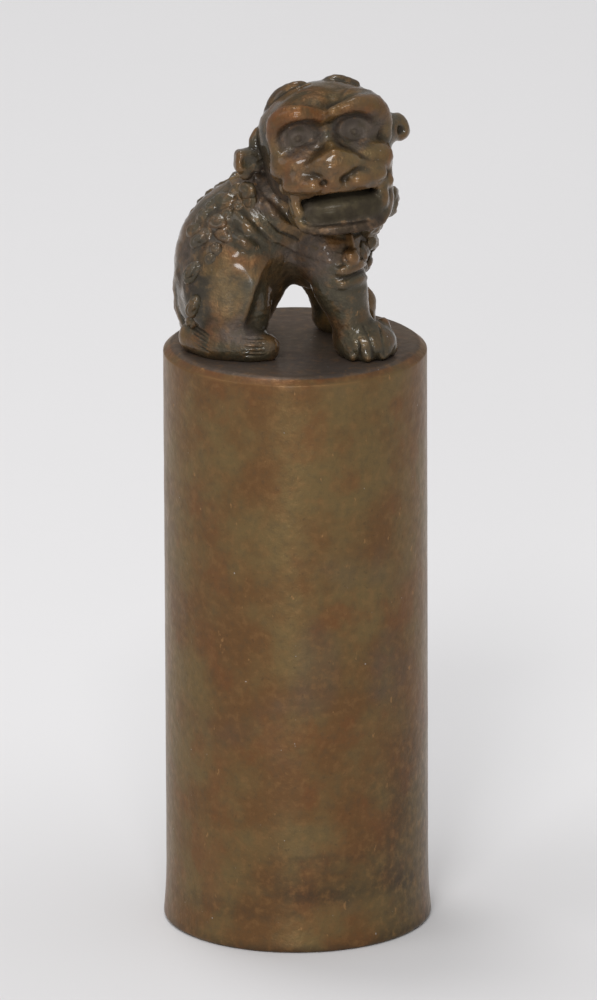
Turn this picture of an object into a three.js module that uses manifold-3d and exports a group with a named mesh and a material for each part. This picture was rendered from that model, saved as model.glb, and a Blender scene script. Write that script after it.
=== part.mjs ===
// A bronze seal stamp: a round shank that carries the seal face below and a seated guardian lion above.
// Millimetres, +Z up, origin at the middle of the seal face. The lion faces +X and looks towards -Y.

import * as THREE from 'three';
import { mergeVertices } from 'three/addons/utils/BufferGeometryUtils.js';
import Module from 'manifold-3d';

const wasm = await Module();
wasm.setup();

// Shank
const shankDiameter = 23;
const shankHeight = 52.3;
const shankSides = 64;
const footFlare = 0.25;
const footHeight = 5.5;
const footBevel = 0.4;
const rimBevel = 0.5;

// Seal face: a disc with a raised fret, let into the bottom of the shank
const printingRimWidth = 1.5;
const faceThickness = 2.6;
const reliefHeight = 0.9;
const fretBarWidth = 0.7;
const fretSpacing = 1.4;
const fretTurns = 6;
const centreBossWidth = 2;

// Room left between pieces that sit in or on each other
const clearance = 0.3;

// Head, in its own frame: the face looks along -Y
const headPlace = [2.75, -2.0, 18.2];
const headTurn = [-6, -8, 8];
const skullRadii = [5.7, 5.3, 4.6];
const skullCentre = [0, 0.4, 1.1];
const cheekRadii = [5.4, 4.9, 3.6];
const cheekCentre = [0, -0.5, -1.9];
const foreheadRadii = [4.3, 2.7, 2.4];
const foreheadCentre = [0, -2.6, 3.0];
const eyeSpacing = 4.9;
const eyeHeight = 1.6;
const eyeDepth = -3.3;
const eyeRadii = [1.7, 1.35, 1.6];
const pupilRadii = [0.45, 0.3, 0.45];
const socketRadii = [2.2, 2.3, 1.95];
const socketDepth = -6.2;
const socketSpread = 0.2;
const socketDrop = 0.3;
const browThickness = 1.6;
const browTaper = [0.75, 1, 1.1, 1];
// Brow path: inwards from the brow's outer end, depth, and height above the eye
const browPath = [[0, -2.2, -1.8], [0, -3.0, 0.4], [1.3, -4.3, 2.0], [3.4, -5.1, 1.8]];
const noseRadii = [1.9, 1.5, 1.35];
const noseCentre = [0, -5.9, -0.75];
// Nose bridge: above the nose's middle
const bridgePath = [[0, 1.3, 3.05], [0, 0.7, 1.85], [0, 0.1, 0.9]];
const bridgeRadii = [0.6, 0.7, 0.9];
const nostrilRadius = 0.9;
const nostrilOverlap = 0.65;
const nostrilSetting = [-0.4, -0.5];
const whiskerPadRadii = [2.3, 1.8, 1.25];
const whiskerPadSpacing = 4.6;
const whiskerPadDepth = -5.1;
const whiskerPadDrop = 1.25;
const lipThickness = 1.1;
const lipCornerTaper = 0.92;
// Lips: across, depth, and height above the lip's own line
const upperLipPath = [
  [-4.5, -3.5, -0.1], [-3, -5.4, 0.15], [0, -6.3, 0.4], [3, -5.4, 0.15], [4.5, -3.5, -0.1],
];
const upperLipRise = 0.3;
const lowerLipPath = [
  [-4.2, -3.6, 1.9], [-4.0, -4.8, 0.7], [-2.8, -6.0, 0], [0, -6.5, -0.15],
  [2.8, -6.0, 0], [4.0, -4.8, 0.7], [4.2, -3.6, 1.9],
];
const lowerLipDrop = 0.8;
const mouthWidth = 7.2;
const mouthOpening = 2.2;
const mouthHeight = -4.35;
const mouthDepth = 7.2;
const mouthSetting = 3.7;
const jawRadii = [4.5, 3.9, 2.1];
const jawCentre = [0, -2.6, -5.1];
const tongueRadii = [3.0, 2.6, 1.0];
const tongueCentre = [0, -4.2, -4.75];
const earRadius = 1.3;
const earRootDepth = 0.9;
const earHollowRadii = [0.55, 0.75, 0.8];
const rightEarReach = 7.1;
const leftEarReach = 6.6;
const rightEarHeight = -0.6;
const leftEarHeight = 0.6;
const crestThickness = 1.5;
const crestTaper = [0.8, 1, 1, 0.55];
const rightCrestPath = [[-4.8, 1.4, 2.7], [-4.1, 1.4, 4.2], [-2.9, 1.3, 5.1], [-1.6, 1.0, 5.4]];
const leftCrestPath = [[0.1, 1.8, 4.8], [1.1, 1.6, 5.3], [2.2, 1.5, 5.3], [3.2, 1.3, 4.9]];

// Body, in the lion's frame: its origin is the middle of the shank's top
const trunkPath = [[-5.9, 0.3, 4.4], [-4.9, 0.2, 8.3], [-2.2, 0.3, 11.2], [1.2, 0.3, 13.3]];
const trunkRadii = [4.4, 5.3, 4.45, 3.7];
const chestCentre = [2.3, 0.1, 9.0];
const chestRadii = [4.4, 4.2, 4.2];
const ruffCentre = [2.6, 0.4, 12.8];
const ruffRadii = [5.3, 4.7, 4.2];
const shoulderCentre = [2.8, 2.9, 9.2];
const shoulderRadii = [2.7, 2.2, 3.4];
const forelegPath = [[3.2, 3.0, 8.6], [3.9, 3.5, 6.2], [4.5, 3.8, 4.2], [5.2, 4.0, 2.0]];
const forelegRadii = [2.5, 2.4, 2.0, 1.8];
const leftSetback = 1.8;
const forepawRadii = [2.6, 2.2, 1.7];
const forepawReach = 0.8;
const forepawTurn = 14;
const toeRadius = 0.95;
const toeCount = 4;
const toeSpread = 34;
const haunchCentre = [-5.0, 3.3, 6.0];
const haunchRadii = [3.2, 2.9, 4.2];
const shinPath = [[-5.8, 3.8, 7.2], [-5.4, 4.4, 6.6], [-5.3, 4.5, 4.4], [-5.3, 4.5, 2.2]];
const shinRadii = [2.3, 2.3, 2.1, 1.9];
const hindFootPath = [[-8.4, 2.6, 1.2], [-6.5, 4.3, 1.2], [-4.1, 5.1, 1.2], [-2.6, 5.2, 1.0]];
const hindFootRadii = [1.3, 1.7, 1.75, 1.3];
const tailPath = [
  [-8.8, 0.4, 0.7], [-9.5, 0.5, 3.0], [-9.7, 0.0, 5.6], [-9.6, -1.4, 6.6], [-9.3, -2.1, 5.2],
];
const tailRadii = [0.8, 0.95, 0.9, 0.75, 0.5];
const collarWidth = 1.3;
const collarThickness = 1.0;
const collarProud = 0.35;
const collarDrape = [[-6.5, 17.2], [-3.2, 13.3], [-1.4, 11.3], [0.9, 10.0], [4.4, 9.5], [10, 9.6]];
const bellRadius = 0.85;
const bellPlace = [4.8, -5.2, 9.0];
const bellButtonRadii = [0.35, 0.3, 0.35];
const backCurlRadius = 0.95;
const backCurlCount = 7;
const backCurlSpread = 44;
const backCurlStart = 0.1;
const backCurlEnd = 0.56;
const chestCurlRadii = [1.1, 1.3, 1.1];
const chestCurlCount = 5;
const chestCurlTop = [7.2, -0.9, 13.4];
const chestCurlBottom = [6.0, -0.9, 7.2];
const napeCurlRadius = 1.4;
const napeCurlCount = 6;
const napeCurlCentre = [0, 0.9, -2.3];
const napeCurlReach = [4.3, 4.0];
const napeCurlStart = 30;
const napeCurlEnd = 150;

const right = -1;
const left = 1;

const bronze = {
  shank: [0x70593f, 0.42],
  face: [0x5d5347, 0.55],
  body: [0x4e4333, 0.34],
  worn: [0x6e5940, 0.36],
  dark: [0x3d362c, 0.45],
};
const bronzeMetalness = 0.8;

// Half the size of a block that reaches past the whole lion
const pastLion = 20;

// Sides of a round form: twice a whole number near base + growth * sqrt(radius)
const sidesBase = 1.6;
const sidesGrowth = 2.05;
const ringsPerSpan = 2;
const capAngles = [60, 30];

// Forms: each is a function of an allowance, grown by it where it cuts a neighbour

function solidFrom(geometry) {
  geometry.deleteAttribute('normal');
  geometry.deleteAttribute('uv');
  const merged = mergeVertices(geometry, 1e-4);
  const vertProperties = new Float32Array(merged.attributes.position.array);
  const triVerts = new Uint32Array(merged.index.array);
  return new wasm.Manifold(new wasm.Mesh({ numProp: 3, vertProperties, triVerts }));
}

function matrixAt(place, turn = [0, 0, 0]) {
  const [x, y, z] = turn.map(THREE.MathUtils.degToRad);
  const rotation = new THREE.Quaternion().setFromEuler(new THREE.Euler(x, y, z, 'ZYX'));
  return new THREE.Matrix4().compose(new THREE.Vector3(...place), rotation, new THREE.Vector3(1, 1, 1));
}

// Larger forms have more sides, and a form keeps its sides when it is grown
function sidesFor(radius) {
  return 2 * Math.round(sidesBase + sidesGrowth * Math.sqrt(radius));
}

function ball(centre, radii, turn) {
  return (allowance) => {
    const size = radii.map((radius) => radius + allowance);
    const sides = sidesFor(Math.max(...radii));
    const geometry = new THREE.SphereGeometry(1, sides, Math.round(sides / 2));
    geometry.rotateX(Math.PI / 2);
    geometry.scale(...size);
    geometry.applyMatrix4(matrixAt(centre, turn));
    return solidFrom(geometry);
  };
}

function block(centre, size, turn) {
  return (allowance) => {
    const geometry = new THREE.BoxGeometry(...size.map((side) => side + 2 * allowance));
    geometry.applyMatrix4(matrixAt(centre, turn));
    return solidFrom(geometry);
  };
}

// A limb swells and tapers along a smooth path, and is round at both ends
function limb(points, radii) {
  return (allowance) => {
    const curve = new THREE.CatmullRomCurve3(points.map((point) => new THREE.Vector3(...point)));
    const spans = points.length - 1;
    const steps = spans * ringsPerSpan;
    const sides = sidesFor(Math.max(...radii));
    const rings = [];
    const normal = new THREE.Vector3(0, 1, 0);
    const addRing = (t, radius, shift) => {
      const tangent = curve.getTangent(t);
      normal.addScaledVector(tangent, -normal.dot(tangent)).normalize();
      const across = new THREE.Vector3().crossVectors(tangent, normal);
      const centre = curve.getPoint(t).addScaledVector(tangent, shift);
      rings.push({ centre, normal: normal.clone(), across, radius });
    };
    const radiusAt = (t) => {
      const span = Math.min(Math.floor(t * spans), spans - 1);
      return THREE.MathUtils.lerp(radii[span], radii[span + 1], t * spans - span) + allowance;
    };
    const capTurns = capAngles.map(THREE.MathUtils.degToRad);
    for (const angle of capTurns) {
      addRing(0, radiusAt(0) * Math.cos(angle), -radiusAt(0) * Math.sin(angle));
    }
    for (let step = 0; step <= steps; step += 1) {
      addRing(step / steps, radiusAt(step / steps), 0);
    }
    for (const angle of capTurns.reverse()) {
      addRing(1, radiusAt(1) * Math.cos(angle), radiusAt(1) * Math.sin(angle));
    }
    const start = curve.getPoint(0).addScaledVector(curve.getTangent(0), -radiusAt(0));
    const end = curve.getPoint(1).addScaledVector(curve.getTangent(1), radiusAt(1));
    return solidFrom(loft(rings, sides, start, end));
  };
}

function loft(rings, sides, start, end) {
  const positions = [...start.toArray(), ...end.toArray()];
  for (const ring of rings) {
    for (let side = 0; side < sides; side += 1) {
      const angle = (side / sides) * 2 * Math.PI;
      const point = ring.centre.clone();
      point.addScaledVector(ring.normal, ring.radius * Math.cos(angle));
      point.addScaledVector(ring.across, ring.radius * Math.sin(angle));
      positions.push(...point.toArray());
    }
  }
  const corner = (ring, side) => 2 + ring * sides + (side % sides);
  const faces = [];
  for (let side = 0; side < sides; side += 1) {
    faces.push(0, corner(0, side + 1), corner(0, side));
    faces.push(1, corner(rings.length - 1, side), corner(rings.length - 1, side + 1));
    for (let ring = 0; ring < rings.length - 1; ring += 1) {
      faces.push(corner(ring, side), corner(ring, side + 1), corner(ring + 1, side));
      faces.push(corner(ring + 1, side), corner(ring, side + 1), corner(ring + 1, side + 1));
    }
  }
  const geometry = new THREE.BufferGeometry();
  geometry.setAttribute('position', new THREE.Float32BufferAttribute(positions, 3));
  geometry.setIndex(faces);
  return geometry;
}

function join(solids) {
  return solids.reduce((whole, solid) => whole.add(solid));
}

function joined(forms) {
  return (allowance) => join(forms.map((form) => form(allowance)));
}

// The largest body of a cut form, without the slivers that a cut leaves beside it
function mainBody(solid) {
  const bodies = solid.decompose();
  return bodies.reduce((largest, body) => (body.volume() > largest.volume() ? body : largest));
}

function mirrored(side, [x, y, z]) {
  return [x, y * side, z];
}

function offset([x, y, z], [dx, dy, dz]) {
  return [x + dx, y + dy, z + dz];
}

// Pieces of the lion, in order: each one is cut clear of those before it

const lionPieces = [];

function addPiece(name, finish, forms, { hollows = [], onHead = false, cover = null } = {}) {
  lionPieces.push({ name, finish, shape: cover ?? joined(forms), hollows, onHead });
}

const mouthCentre = [0, jawCentre[1] - mouthSetting, mouthHeight];
const mouth = block(mouthCentre, [mouthWidth, mouthDepth, mouthOpening]);

function eyeCentre(side) {
  return [(side * eyeSpacing) / 2, eyeDepth, eyeHeight];
}

function socket(side) {
  return ball([side * (eyeSpacing / 2 + socketSpread), socketDepth, eyeHeight - socketDrop], socketRadii);
}

function addTongue() {
  addPiece('tongue', bronze.dark, [ball(tongueCentre, tongueRadii)], { onHead: true });
}

function addEye(name, side) {
  const [x, y, z] = eyeCentre(side);
  const pupil = ball([x, y - eyeRadii[1], z], pupilRadii);
  addPiece(name, bronze.dark, [ball([x, y, z], eyeRadii), pupil], { onHead: true });
}

function addBrow(name, side) {
  const radii = browTaper.map((share) => (share * browThickness) / 2);
  const outer = eyeSpacing / 2 + socketRadii[0] + radii[0];
  const path = browPath.map(([inwards, depth, above]) => [side * (outer - inwards), depth, eyeHeight + above]);
  addPiece(name, bronze.body, [limb(path, radii)], { onHead: true });
}

function addNose() {
  const bridge = limb(bridgePath.map((point) => offset(noseCentre, point)), bridgeRadii);
  const spread = noseRadii[0] - nostrilRadius * nostrilOverlap;
  const wings = [right, left].map((side) => {
    const centre = offset(noseCentre, [side * spread, ...nostrilSetting]);
    return ball(centre, [nostrilRadius, nostrilRadius, nostrilRadius * 0.8]);
  });
  addPiece('nose', bronze.worn, [ball(noseCentre, noseRadii), bridge, ...wings], { onHead: true });
}

// A lip of one thickness, a little thinner at the corners of the mouth
function lipAlong(path, height) {
  const radii = path.map((point, index) => {
    const atCorner = index === 0 || index === path.length - 1;
    return (lipThickness / 2) * (atCorner ? lipCornerTaper : 1);
  });
  return limb(path.map((point) => offset(point, [0, 0, height])), radii);
}

function addMuzzle() {
  const padHeight = noseCentre[2] - whiskerPadDrop;
  const pads = [right, left].map((side) => (
    ball([(side * whiskerPadSpacing) / 2, whiskerPadDepth, padHeight], whiskerPadRadii)
  ));
  const lip = lipAlong(upperLipPath, mouthHeight + mouthOpening / 2 + lipThickness * upperLipRise);
  addPiece('muzzle', bronze.worn, [...pads, lip], { hollows: [mouth], onHead: true });
}

function addLowerJaw() {
  const lip = lipAlong(lowerLipPath, jawCentre[2] - lowerLipDrop);
  addPiece('lower_jaw', bronze.body, [ball(jawCentre, jawRadii), lip], { hollows: [mouth], onHead: true });
}

function addEar(name, side, reach, height) {
  const root = [side * (skullRadii[0] - earRootDepth), 0.9, height];
  const tip = [side * reach, 0.4, height + 0.1];
  const stalk = limb([root, tip], [earRadius, earRadius * 0.8]);
  const cup = ball(tip, [earRadius * 0.6, earRadius * 0.85, earRadius * 1.1]);
  const hollow = ball(offset(tip, [-side * 0.2, -earRadius, 0]), earHollowRadii);
  addPiece(name, bronze.body, [stalk, cup], { hollows: [hollow], onHead: true });
}

function addCrestLock(name, path) {
  const radii = crestTaper.map((share) => (share * crestThickness) / 2);
  addPiece(name, bronze.body, [limb(path, radii)], { onHead: true });
}

// Curls round the back of the head, from ear to ear
function addNapeCurls() {
  const curls = [];
  for (let curl = 0; curl < napeCurlCount; curl += 1) {
    const turn = THREE.MathUtils.lerp(napeCurlStart, napeCurlEnd, curl / (napeCurlCount - 1));
    const angle = THREE.MathUtils.degToRad(turn);
    const reach = [napeCurlReach[0] * Math.cos(angle), napeCurlReach[1] * Math.sin(angle), 0];
    curls.push(ball(offset(napeCurlCentre, reach), [napeCurlRadius, napeCurlRadius, napeCurlRadius]));
  }
  addPiece('nape_curls', bronze.body, curls, { onHead: true });
}

function addSkull() {
  const forms = [
    ball(skullCentre, skullRadii),
    ball(cheekCentre, cheekRadii),
    ball(foreheadCentre, foreheadRadii),
  ];
  addPiece('skull', bronze.body, forms, { hollows: [socket(right), socket(left), mouth], onHead: true });
}

function addBell() {
  const boss = ball(bellPlace, [bellRadius, bellRadius, bellRadius]);
  const button = ball(offset(bellPlace, [0, -bellRadius, -0.1]), bellButtonRadii);
  addPiece('collar_bell', bronze.worn, [boss, button]);
}

function addChestCurls() {
  const top = new THREE.Vector3(...chestCurlTop);
  const bottom = new THREE.Vector3(...chestCurlBottom);
  const curls = [];
  for (let curl = 0; curl < chestCurlCount; curl += 1) {
    const centre = top.clone().lerp(bottom, curl / (chestCurlCount - 1));
    curls.push(ball(centre.toArray(), chestCurlRadii, [0, 30, 0]));
  }
  addPiece('chest_curls', bronze.body, curls);
}

// Curls of the mane follow the back a set angle off the spine
function addBackCurls(name, side) {
  const curve = new THREE.CatmullRomCurve3(trunkPath.map((point) => new THREE.Vector3(...point)));
  const spread = THREE.MathUtils.degToRad(backCurlSpread);
  const curls = [];
  for (let curl = 0; curl < backCurlCount; curl += 1) {
    const t = THREE.MathUtils.lerp(backCurlStart, backCurlEnd, curl / (backCurlCount - 1));
    const tangent = curve.getTangent(t);
    const outward = new THREE.Vector3(-tangent.z, 0, tangent.x).multiplyScalar(Math.cos(spread));
    outward.y = side * Math.sin(spread);
    const place = t * (trunkRadii.length - 1);
    const span = Math.floor(place);
    const depth = THREE.MathUtils.lerp(trunkRadii[span], trunkRadii[span + 1], place - span);
    const centre = curve.getPoint(t).addScaledVector(outward, depth - backCurlRadius * 0.45);
    curls.push(ball(centre.toArray(), [backCurlRadius, backCurlRadius, backCurlRadius]));
  }
  addPiece(name, bronze.body, curls);
}

function addTail() {
  addPiece('tail', bronze.body, [limb(tailPath, tailRadii)]);
}

// The left feet stand further back than the right ones
function setbackOf(side) {
  return side === left ? leftSetback : 0;
}

function forelegPoint(index, side) {
  return offset(mirrored(side, forelegPath[index]), [-setbackOf(side), 0, 0]);
}

function addForepaw(name, side) {
  const ankle = forelegPoint(3, side);
  const centre = [ankle[0] + forepawReach, ankle[1] + side * 0.1, forepawRadii[2] * 0.75];
  const turn = forepawTurn * side;
  const reach = [forepawRadii[0] - toeRadius * 0.6, forepawRadii[1] - toeRadius * 0.4];
  const toes = [];
  for (let toe = 0; toe < toeCount; toe += 1) {
    const angle = THREE.MathUtils.degToRad(turn + toeSpread * (toe - (toeCount - 1) / 2));
    const x = centre[0] + reach[0] * Math.cos(angle);
    const y = centre[1] + reach[1] * Math.sin(angle);
    toes.push(ball([x, y, toeRadius * 0.85], [toeRadius, toeRadius, toeRadius]));
  }
  addPiece(name, bronze.body, [ball(centre, forepawRadii, [0, 0, turn]), ...toes]);
}

function addForeleg(name, side) {
  const path = forelegPath.map((point, index) => forelegPoint(index, side));
  addPiece(name, bronze.body, [limb(path, forelegRadii)]);
}

function addHindFoot(name, side) {
  const path = hindFootPath.map((point, index) => {
    const shift = index < hindFootPath.length / 2 ? 0 : setbackOf(side);
    return offset(mirrored(side, point), [-shift, 0, 0]);
  });
  addPiece(name, bronze.body, [limb(path, hindFootRadii)]);
}

function addHindLeg(name, side) {
  const shin = limb(shinPath.map((point) => mirrored(side, point)), shinRadii);
  addPiece(name, bronze.worn, [ball(mirrored(side, haunchCentre), haunchRadii), shin]);
}

function shoulder(side) {
  return ball(mirrored(side, shoulderCentre), shoulderRadii);
}

function addShoulder(name, side) {
  addPiece(name, bronze.body, [shoulder(side)]);
}

const trunk = limb(trunkPath, trunkRadii);
const chest = ball(chestCentre, chestRadii);
const ruff = ball(ruffCentre, ruffRadii);

// The outline of a ribbon of one width along a path, pulled straight through the neck
function ribbonThrough(path, width) {
  const curve = new THREE.SplineCurve(path.map((point) => new THREE.Vector2(...point)));
  const samples = 2 * path.length;
  const edge = (side) => curve.getPoints(samples).map((point, index) => {
    const tangent = curve.getTangent(index / samples);
    const reach = (side * width) / 2;
    return new THREE.Vector2(point.x - tangent.y * reach, point.y + tangent.x * reach);
  });
  const outline = new THREE.Shape([...edge(left), ...edge(right).reverse()]);
  const geometry = new THREE.ExtrudeGeometry(outline, { depth: 2 * pastLion, bevelEnabled: false });
  geometry.rotateX(Math.PI / 2);
  geometry.translate(0, pastLion, 0);
  return solidFrom(geometry);
}

// The collar is the skin of the neck that a draped ribbon takes out
function addCollar(name, side) {
  const core = joined([trunk, chest, ruff, shoulder(left), shoulder(right)]);
  const cover = (allowance) => {
    const skin = core(collarProud + allowance).subtract(core(collarProud - collarThickness - allowance));
    const inner = clearance / 2 - allowance;
    const middle = (side * (pastLion + inner)) / 2;
    const half = block([0, middle, 0], [2 * pastLion, pastLion - inner, 2 * pastLion])(0);
    return skin.intersect(ribbonThrough(collarDrape, collarWidth + 2 * allowance)).intersect(half);
  };
  addPiece(name, bronze.worn, [], { cover });
}

function addLion() {
  addEye('eye_right', right);
  addEye('eye_left', left);
  addCrestLock('crest_lock_right', rightCrestPath);
  addCrestLock('crest_lock_left', leftCrestPath);
  addSkull();
  addLowerJaw();
  addTongue();
  addMuzzle();
  addNose();
  addBrow('brow_right', right);
  addBrow('brow_left', left);
  addEar('ear_right', right, rightEarReach, rightEarHeight);
  addEar('ear_left', left, leftEarReach, leftEarHeight);
  addNapeCurls();
  addBell();
  addCollar('collar_right', right);
  addCollar('collar_left', left);
  addBackCurls('back_curls_right', right);
  addBackCurls('back_curls_left', left);
  addTail();
  addHindLeg('hind_leg_right', right);
  addHindLeg('hind_leg_left', left);
  addPiece('trunk', bronze.body, [trunk]);
  addPiece('mane_ruff', bronze.body, [ruff]);
  addPiece('chest', bronze.body, [chest]);
  addChestCurls();
  addShoulder('shoulder_right', right);
  addShoulder('shoulder_left', left);
  addForeleg('foreleg_right', right);
  addForeleg('foreleg_left', left);
  addForepaw('forepaw_right', right);
  addForepaw('forepaw_left', left);
  addHindFoot('hind_foot_right', right);
  addHindFoot('hind_foot_left', left);
}

function meshFrom(solid, name, [colour, roughness]) {
  const { vertProperties, triVerts, numProp } = solid.getMesh();
  const geometry = new THREE.BufferGeometry();
  const positions = [];
  for (let vertex = 0; vertex < vertProperties.length; vertex += numProp) {
    positions.push(...vertProperties.subarray(vertex, vertex + 3));
  }
  geometry.setAttribute('position', new THREE.Float32BufferAttribute(positions, 3));
  geometry.setIndex(Array.from(triVerts));
  geometry.computeVertexNormals();
  const material = new THREE.MeshStandardMaterial({ color: colour, roughness, metalness: bronzeMetalness });
  const mesh = new THREE.Mesh(geometry, material);
  mesh.name = name;
  return mesh;
}

function buildLion() {
  const lion = new THREE.Group();
  lion.position.z = shankHeight;
  const head = new THREE.Group();
  head.position.set(...headPlace);
  head.rotation.set(...headTurn.map(THREE.MathUtils.degToRad), 'ZYX');
  lion.add(head);
  const headMatrix = matrixAt(headPlace, headTurn);
  const intoHead = headMatrix.clone().invert();
  const underground = block([0, 0, -pastLion], [2 * pastLion, 2 * pastLion, 2 * pastLion])(0);
  const earlier = [];
  addLion();
  for (const { name, finish, shape, hollows, onHead } of lionPieces) {
    const placed = (solid) => (onHead ? solid.transform(headMatrix.elements) : solid);
    const hollowed = (allowance) => (
      placed(hollows.reduce((rest, hollow) => rest.subtract(hollow(-allowance)), shape(allowance)))
    );
    let body = hollowed(0).subtract(underground);
    for (const neighbour of earlier) {
      body = body.subtract(neighbour);
    }
    body = mainBody(body);
    earlier.push(hollowed(clearance));
    const mesh = meshFrom(onHead ? body.transform(intoHead.elements) : body, name, finish);
    (onHead ? head : lion).add(mesh);
  }
  return lion;
}

function buildShank() {
  const radius = shankDiameter / 2;
  const footRadius = radius + footFlare;
  const recess = radius - printingRimWidth;
  const profile = new THREE.Path();
  profile.moveTo(0, faceThickness + clearance);
  profile.lineTo(recess, faceThickness + clearance);
  profile.lineTo(recess, 0);
  profile.lineTo(footRadius - footBevel, 0);
  profile.lineTo(footRadius, footBevel);
  profile.quadraticCurveTo(radius, footHeight * 0.6, radius, footHeight);
  profile.lineTo(radius, shankHeight - rimBevel);
  profile.quadraticCurveTo(radius, shankHeight, radius - rimBevel, shankHeight);
  profile.lineTo(0, shankHeight);
  const geometry = new THREE.LatheGeometry(profile.getPoints(3), shankSides);
  geometry.rotateX(Math.PI / 2);
  return meshFrom(solidFrom(geometry), 'shank', bronze.shank);
}

// One arm of the fret: a square spiral that winds outwards from its own middle
function fretArm() {
  const start = (centreBossWidth + fretBarWidth) / 2 + fretBarWidth + fretSpacing;
  const steps = [[1, 0], [0, 1], [-1, 0], [0, -1]];
  const bars = [];
  let [x, y] = [start, start];
  for (let turn = 0; turn < fretTurns; turn += 1) {
    const [dx, dy] = steps[turn % 4];
    const length = fretSpacing * (1 + Math.floor(turn / 2));
    const size = [dx, dy].map((way) => Math.abs(way) * length + fretBarWidth);
    const middle = [x + (dx * length) / 2, y + (dy * length) / 2, reliefHeight];
    bars.push(block(middle, [...size, 2 * reliefHeight])(0));
    x += dx * length;
    y += dy * length;
  }
  return join(bars);
}

function buildSealFace() {
  const radius = shankDiameter / 2 - printingRimWidth - clearance;
  const disc = new THREE.CylinderGeometry(radius, radius, faceThickness - reliefHeight, shankSides);
  disc.rotateX(Math.PI / 2);
  disc.translate(0, 0, (faceThickness + reliefHeight) / 2);
  const boss = block([0, 0, reliefHeight], [centreBossWidth, centreBossWidth, 2 * reliefHeight])(0);
  const arms = [0, 90, 180, 270].map((turn) => fretArm().rotate([0, 0, turn]));
  return meshFrom(join([solidFrom(disc), boss, ...arms]), 'seal_face', bronze.face);
}

const sealStamp = new THREE.Group();
sealStamp.add(buildShank(), buildSealFace(), buildLion());

export default sealStamp;
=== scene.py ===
"""Seal stamp: a bronze cylinder with a fret on its printing face and a seated guardian lion as its grip."""

import math

import bmesh
import bpy
import numpy as np
from mathutils import Euler, Matrix, Vector


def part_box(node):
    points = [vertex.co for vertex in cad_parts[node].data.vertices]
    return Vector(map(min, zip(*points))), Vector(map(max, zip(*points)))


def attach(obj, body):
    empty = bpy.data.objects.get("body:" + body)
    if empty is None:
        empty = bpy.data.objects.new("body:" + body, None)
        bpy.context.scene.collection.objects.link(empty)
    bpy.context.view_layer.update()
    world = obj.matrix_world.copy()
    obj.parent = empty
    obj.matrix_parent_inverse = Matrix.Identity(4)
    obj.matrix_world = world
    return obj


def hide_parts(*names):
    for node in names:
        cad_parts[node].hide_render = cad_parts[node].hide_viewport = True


bl_info = {
    "name": "Seal Stamp",
    "version": (1, 0, 0),
    "blender": (4, 5, 0),
    "location": "3D View > Sidebar > Seal Stamp",
    "description": "A bronze seal stamp with a seated guardian lion as its grip",
    "category": "Add Mesh",
}

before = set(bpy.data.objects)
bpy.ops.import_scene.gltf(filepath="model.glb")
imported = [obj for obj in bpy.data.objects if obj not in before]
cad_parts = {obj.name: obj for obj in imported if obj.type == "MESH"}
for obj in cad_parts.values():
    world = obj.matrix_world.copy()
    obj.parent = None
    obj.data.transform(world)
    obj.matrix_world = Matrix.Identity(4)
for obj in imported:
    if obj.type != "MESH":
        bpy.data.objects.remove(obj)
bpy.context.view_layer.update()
SHANK_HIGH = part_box("shank")[1]

MM = 0.001
RIGHT, LEFT = -1, 1


# Sizes and colours that a user would change

def length(name, description, millimetres):
    return bpy.props.FloatProperty(
        name=name, description=description, default=millimetres * MM,
        min=0.0, unit="LENGTH", subtype="DISTANCE",
    )


def colour(name, description, red, green, blue):
    return bpy.props.FloatVectorProperty(
        name=name, description=description, default=linear(red, green, blue),
        min=0.0, max=1.0, size=3, subtype="COLOR",
    )


def linear(red, green, blue):
    """A colour given as 0 to 255, as the shaders want it."""
    return tuple(((part / 255 + 0.055) / 1.055) ** 2.4 for part in (red, green, blue))


class StampSizes(bpy.types.PropertyGroup):
    """Sizes of the shank, the samples and the lion's curls"""

    foot_flare: length("Foot flare", "How far the foot of the shank spreads past its side", 0.25)
    foot_height: length("Foot height", "Height over which the foot spreads", 5.5)
    foot_bevel: length("Foot bevel", "Worn edge round the printing face", 0.4)
    rim_bevel: length("Rim bevel", "Rounded edge at the top of the shank", 0.9)
    rim_width: length("Printing rim", "Width of the plain rim round the fret", 1.5)
    recess_depth: length("Recess depth", "Depth of the seat that the printing face is let into", 2.9)
    wear_depth: length("Wear depth", "How far rubbing has worn the shank's side in and out", 0.035)
    head_step: length("Head detail", "Distance between samples where the head is carved", 0.1)
    body_step: length("Body detail", "Distance between samples where the body is carved", 0.115)
    casting_wobble: length("Casting unevenness", "How uneven the cast surface is", 0.045)
    bead_size: length("Bead size", "Radius of the small curls on the lion's back", 0.78)
    nape_curl_size: length("Nape curl size", "Radius of the curls behind the lion's head", 1.35)
    chest_curl_size: length("Chest curl size", "Radius of the curls down the lion's chest", 1.15)


class StampColours(bpy.types.PropertyGroup):
    """Colours of the bronze and of the stage"""

    brown: colour("Brown", "Brown skin of the bronze", 110, 90, 57)
    umber: colour("Umber", "Darker brown where the skin is thick", 104, 74, 44)
    olive: colour("Olive", "Grey green cast in the sheltered places", 66, 60, 46)
    ash: colour("Ash", "Purple grey film", 82, 74, 69)
    ember: colour("Ember", "Red brown patches where the skin is thin", 110, 66, 38)
    hollow: colour("Hollow", "Dirt in the hollows", 44, 39, 33)
    worn: colour("Worn", "Bare bronze where hands have rubbed it", 130, 96, 60)
    # Worn is also the colour of the painted highlight along the shank's top rim
    tint: colour("Edge tint", "Sheen of the bronze where it is seen edge on", 214, 190, 160)
    # The floor colour is darker than the backdrop: painted shade in front of the stamp and round its base
    floor: colour("Floor", "Floor under the stamp", 214, 213, 214)
    backdrop: colour("Backdrop", "Floor and backdrop behind the stamp", 226, 225, 226)


# Carving: the lion is cast in one, so its pieces are carved from one block of samples

TINY = 1e-9


def turned(rx, ry, rz):
    """Turns about x, then y, then z, in degrees."""
    return np.array(Euler([math.radians(angle) for angle in (rx, ry, rz)], "XYZ").to_matrix())


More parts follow.
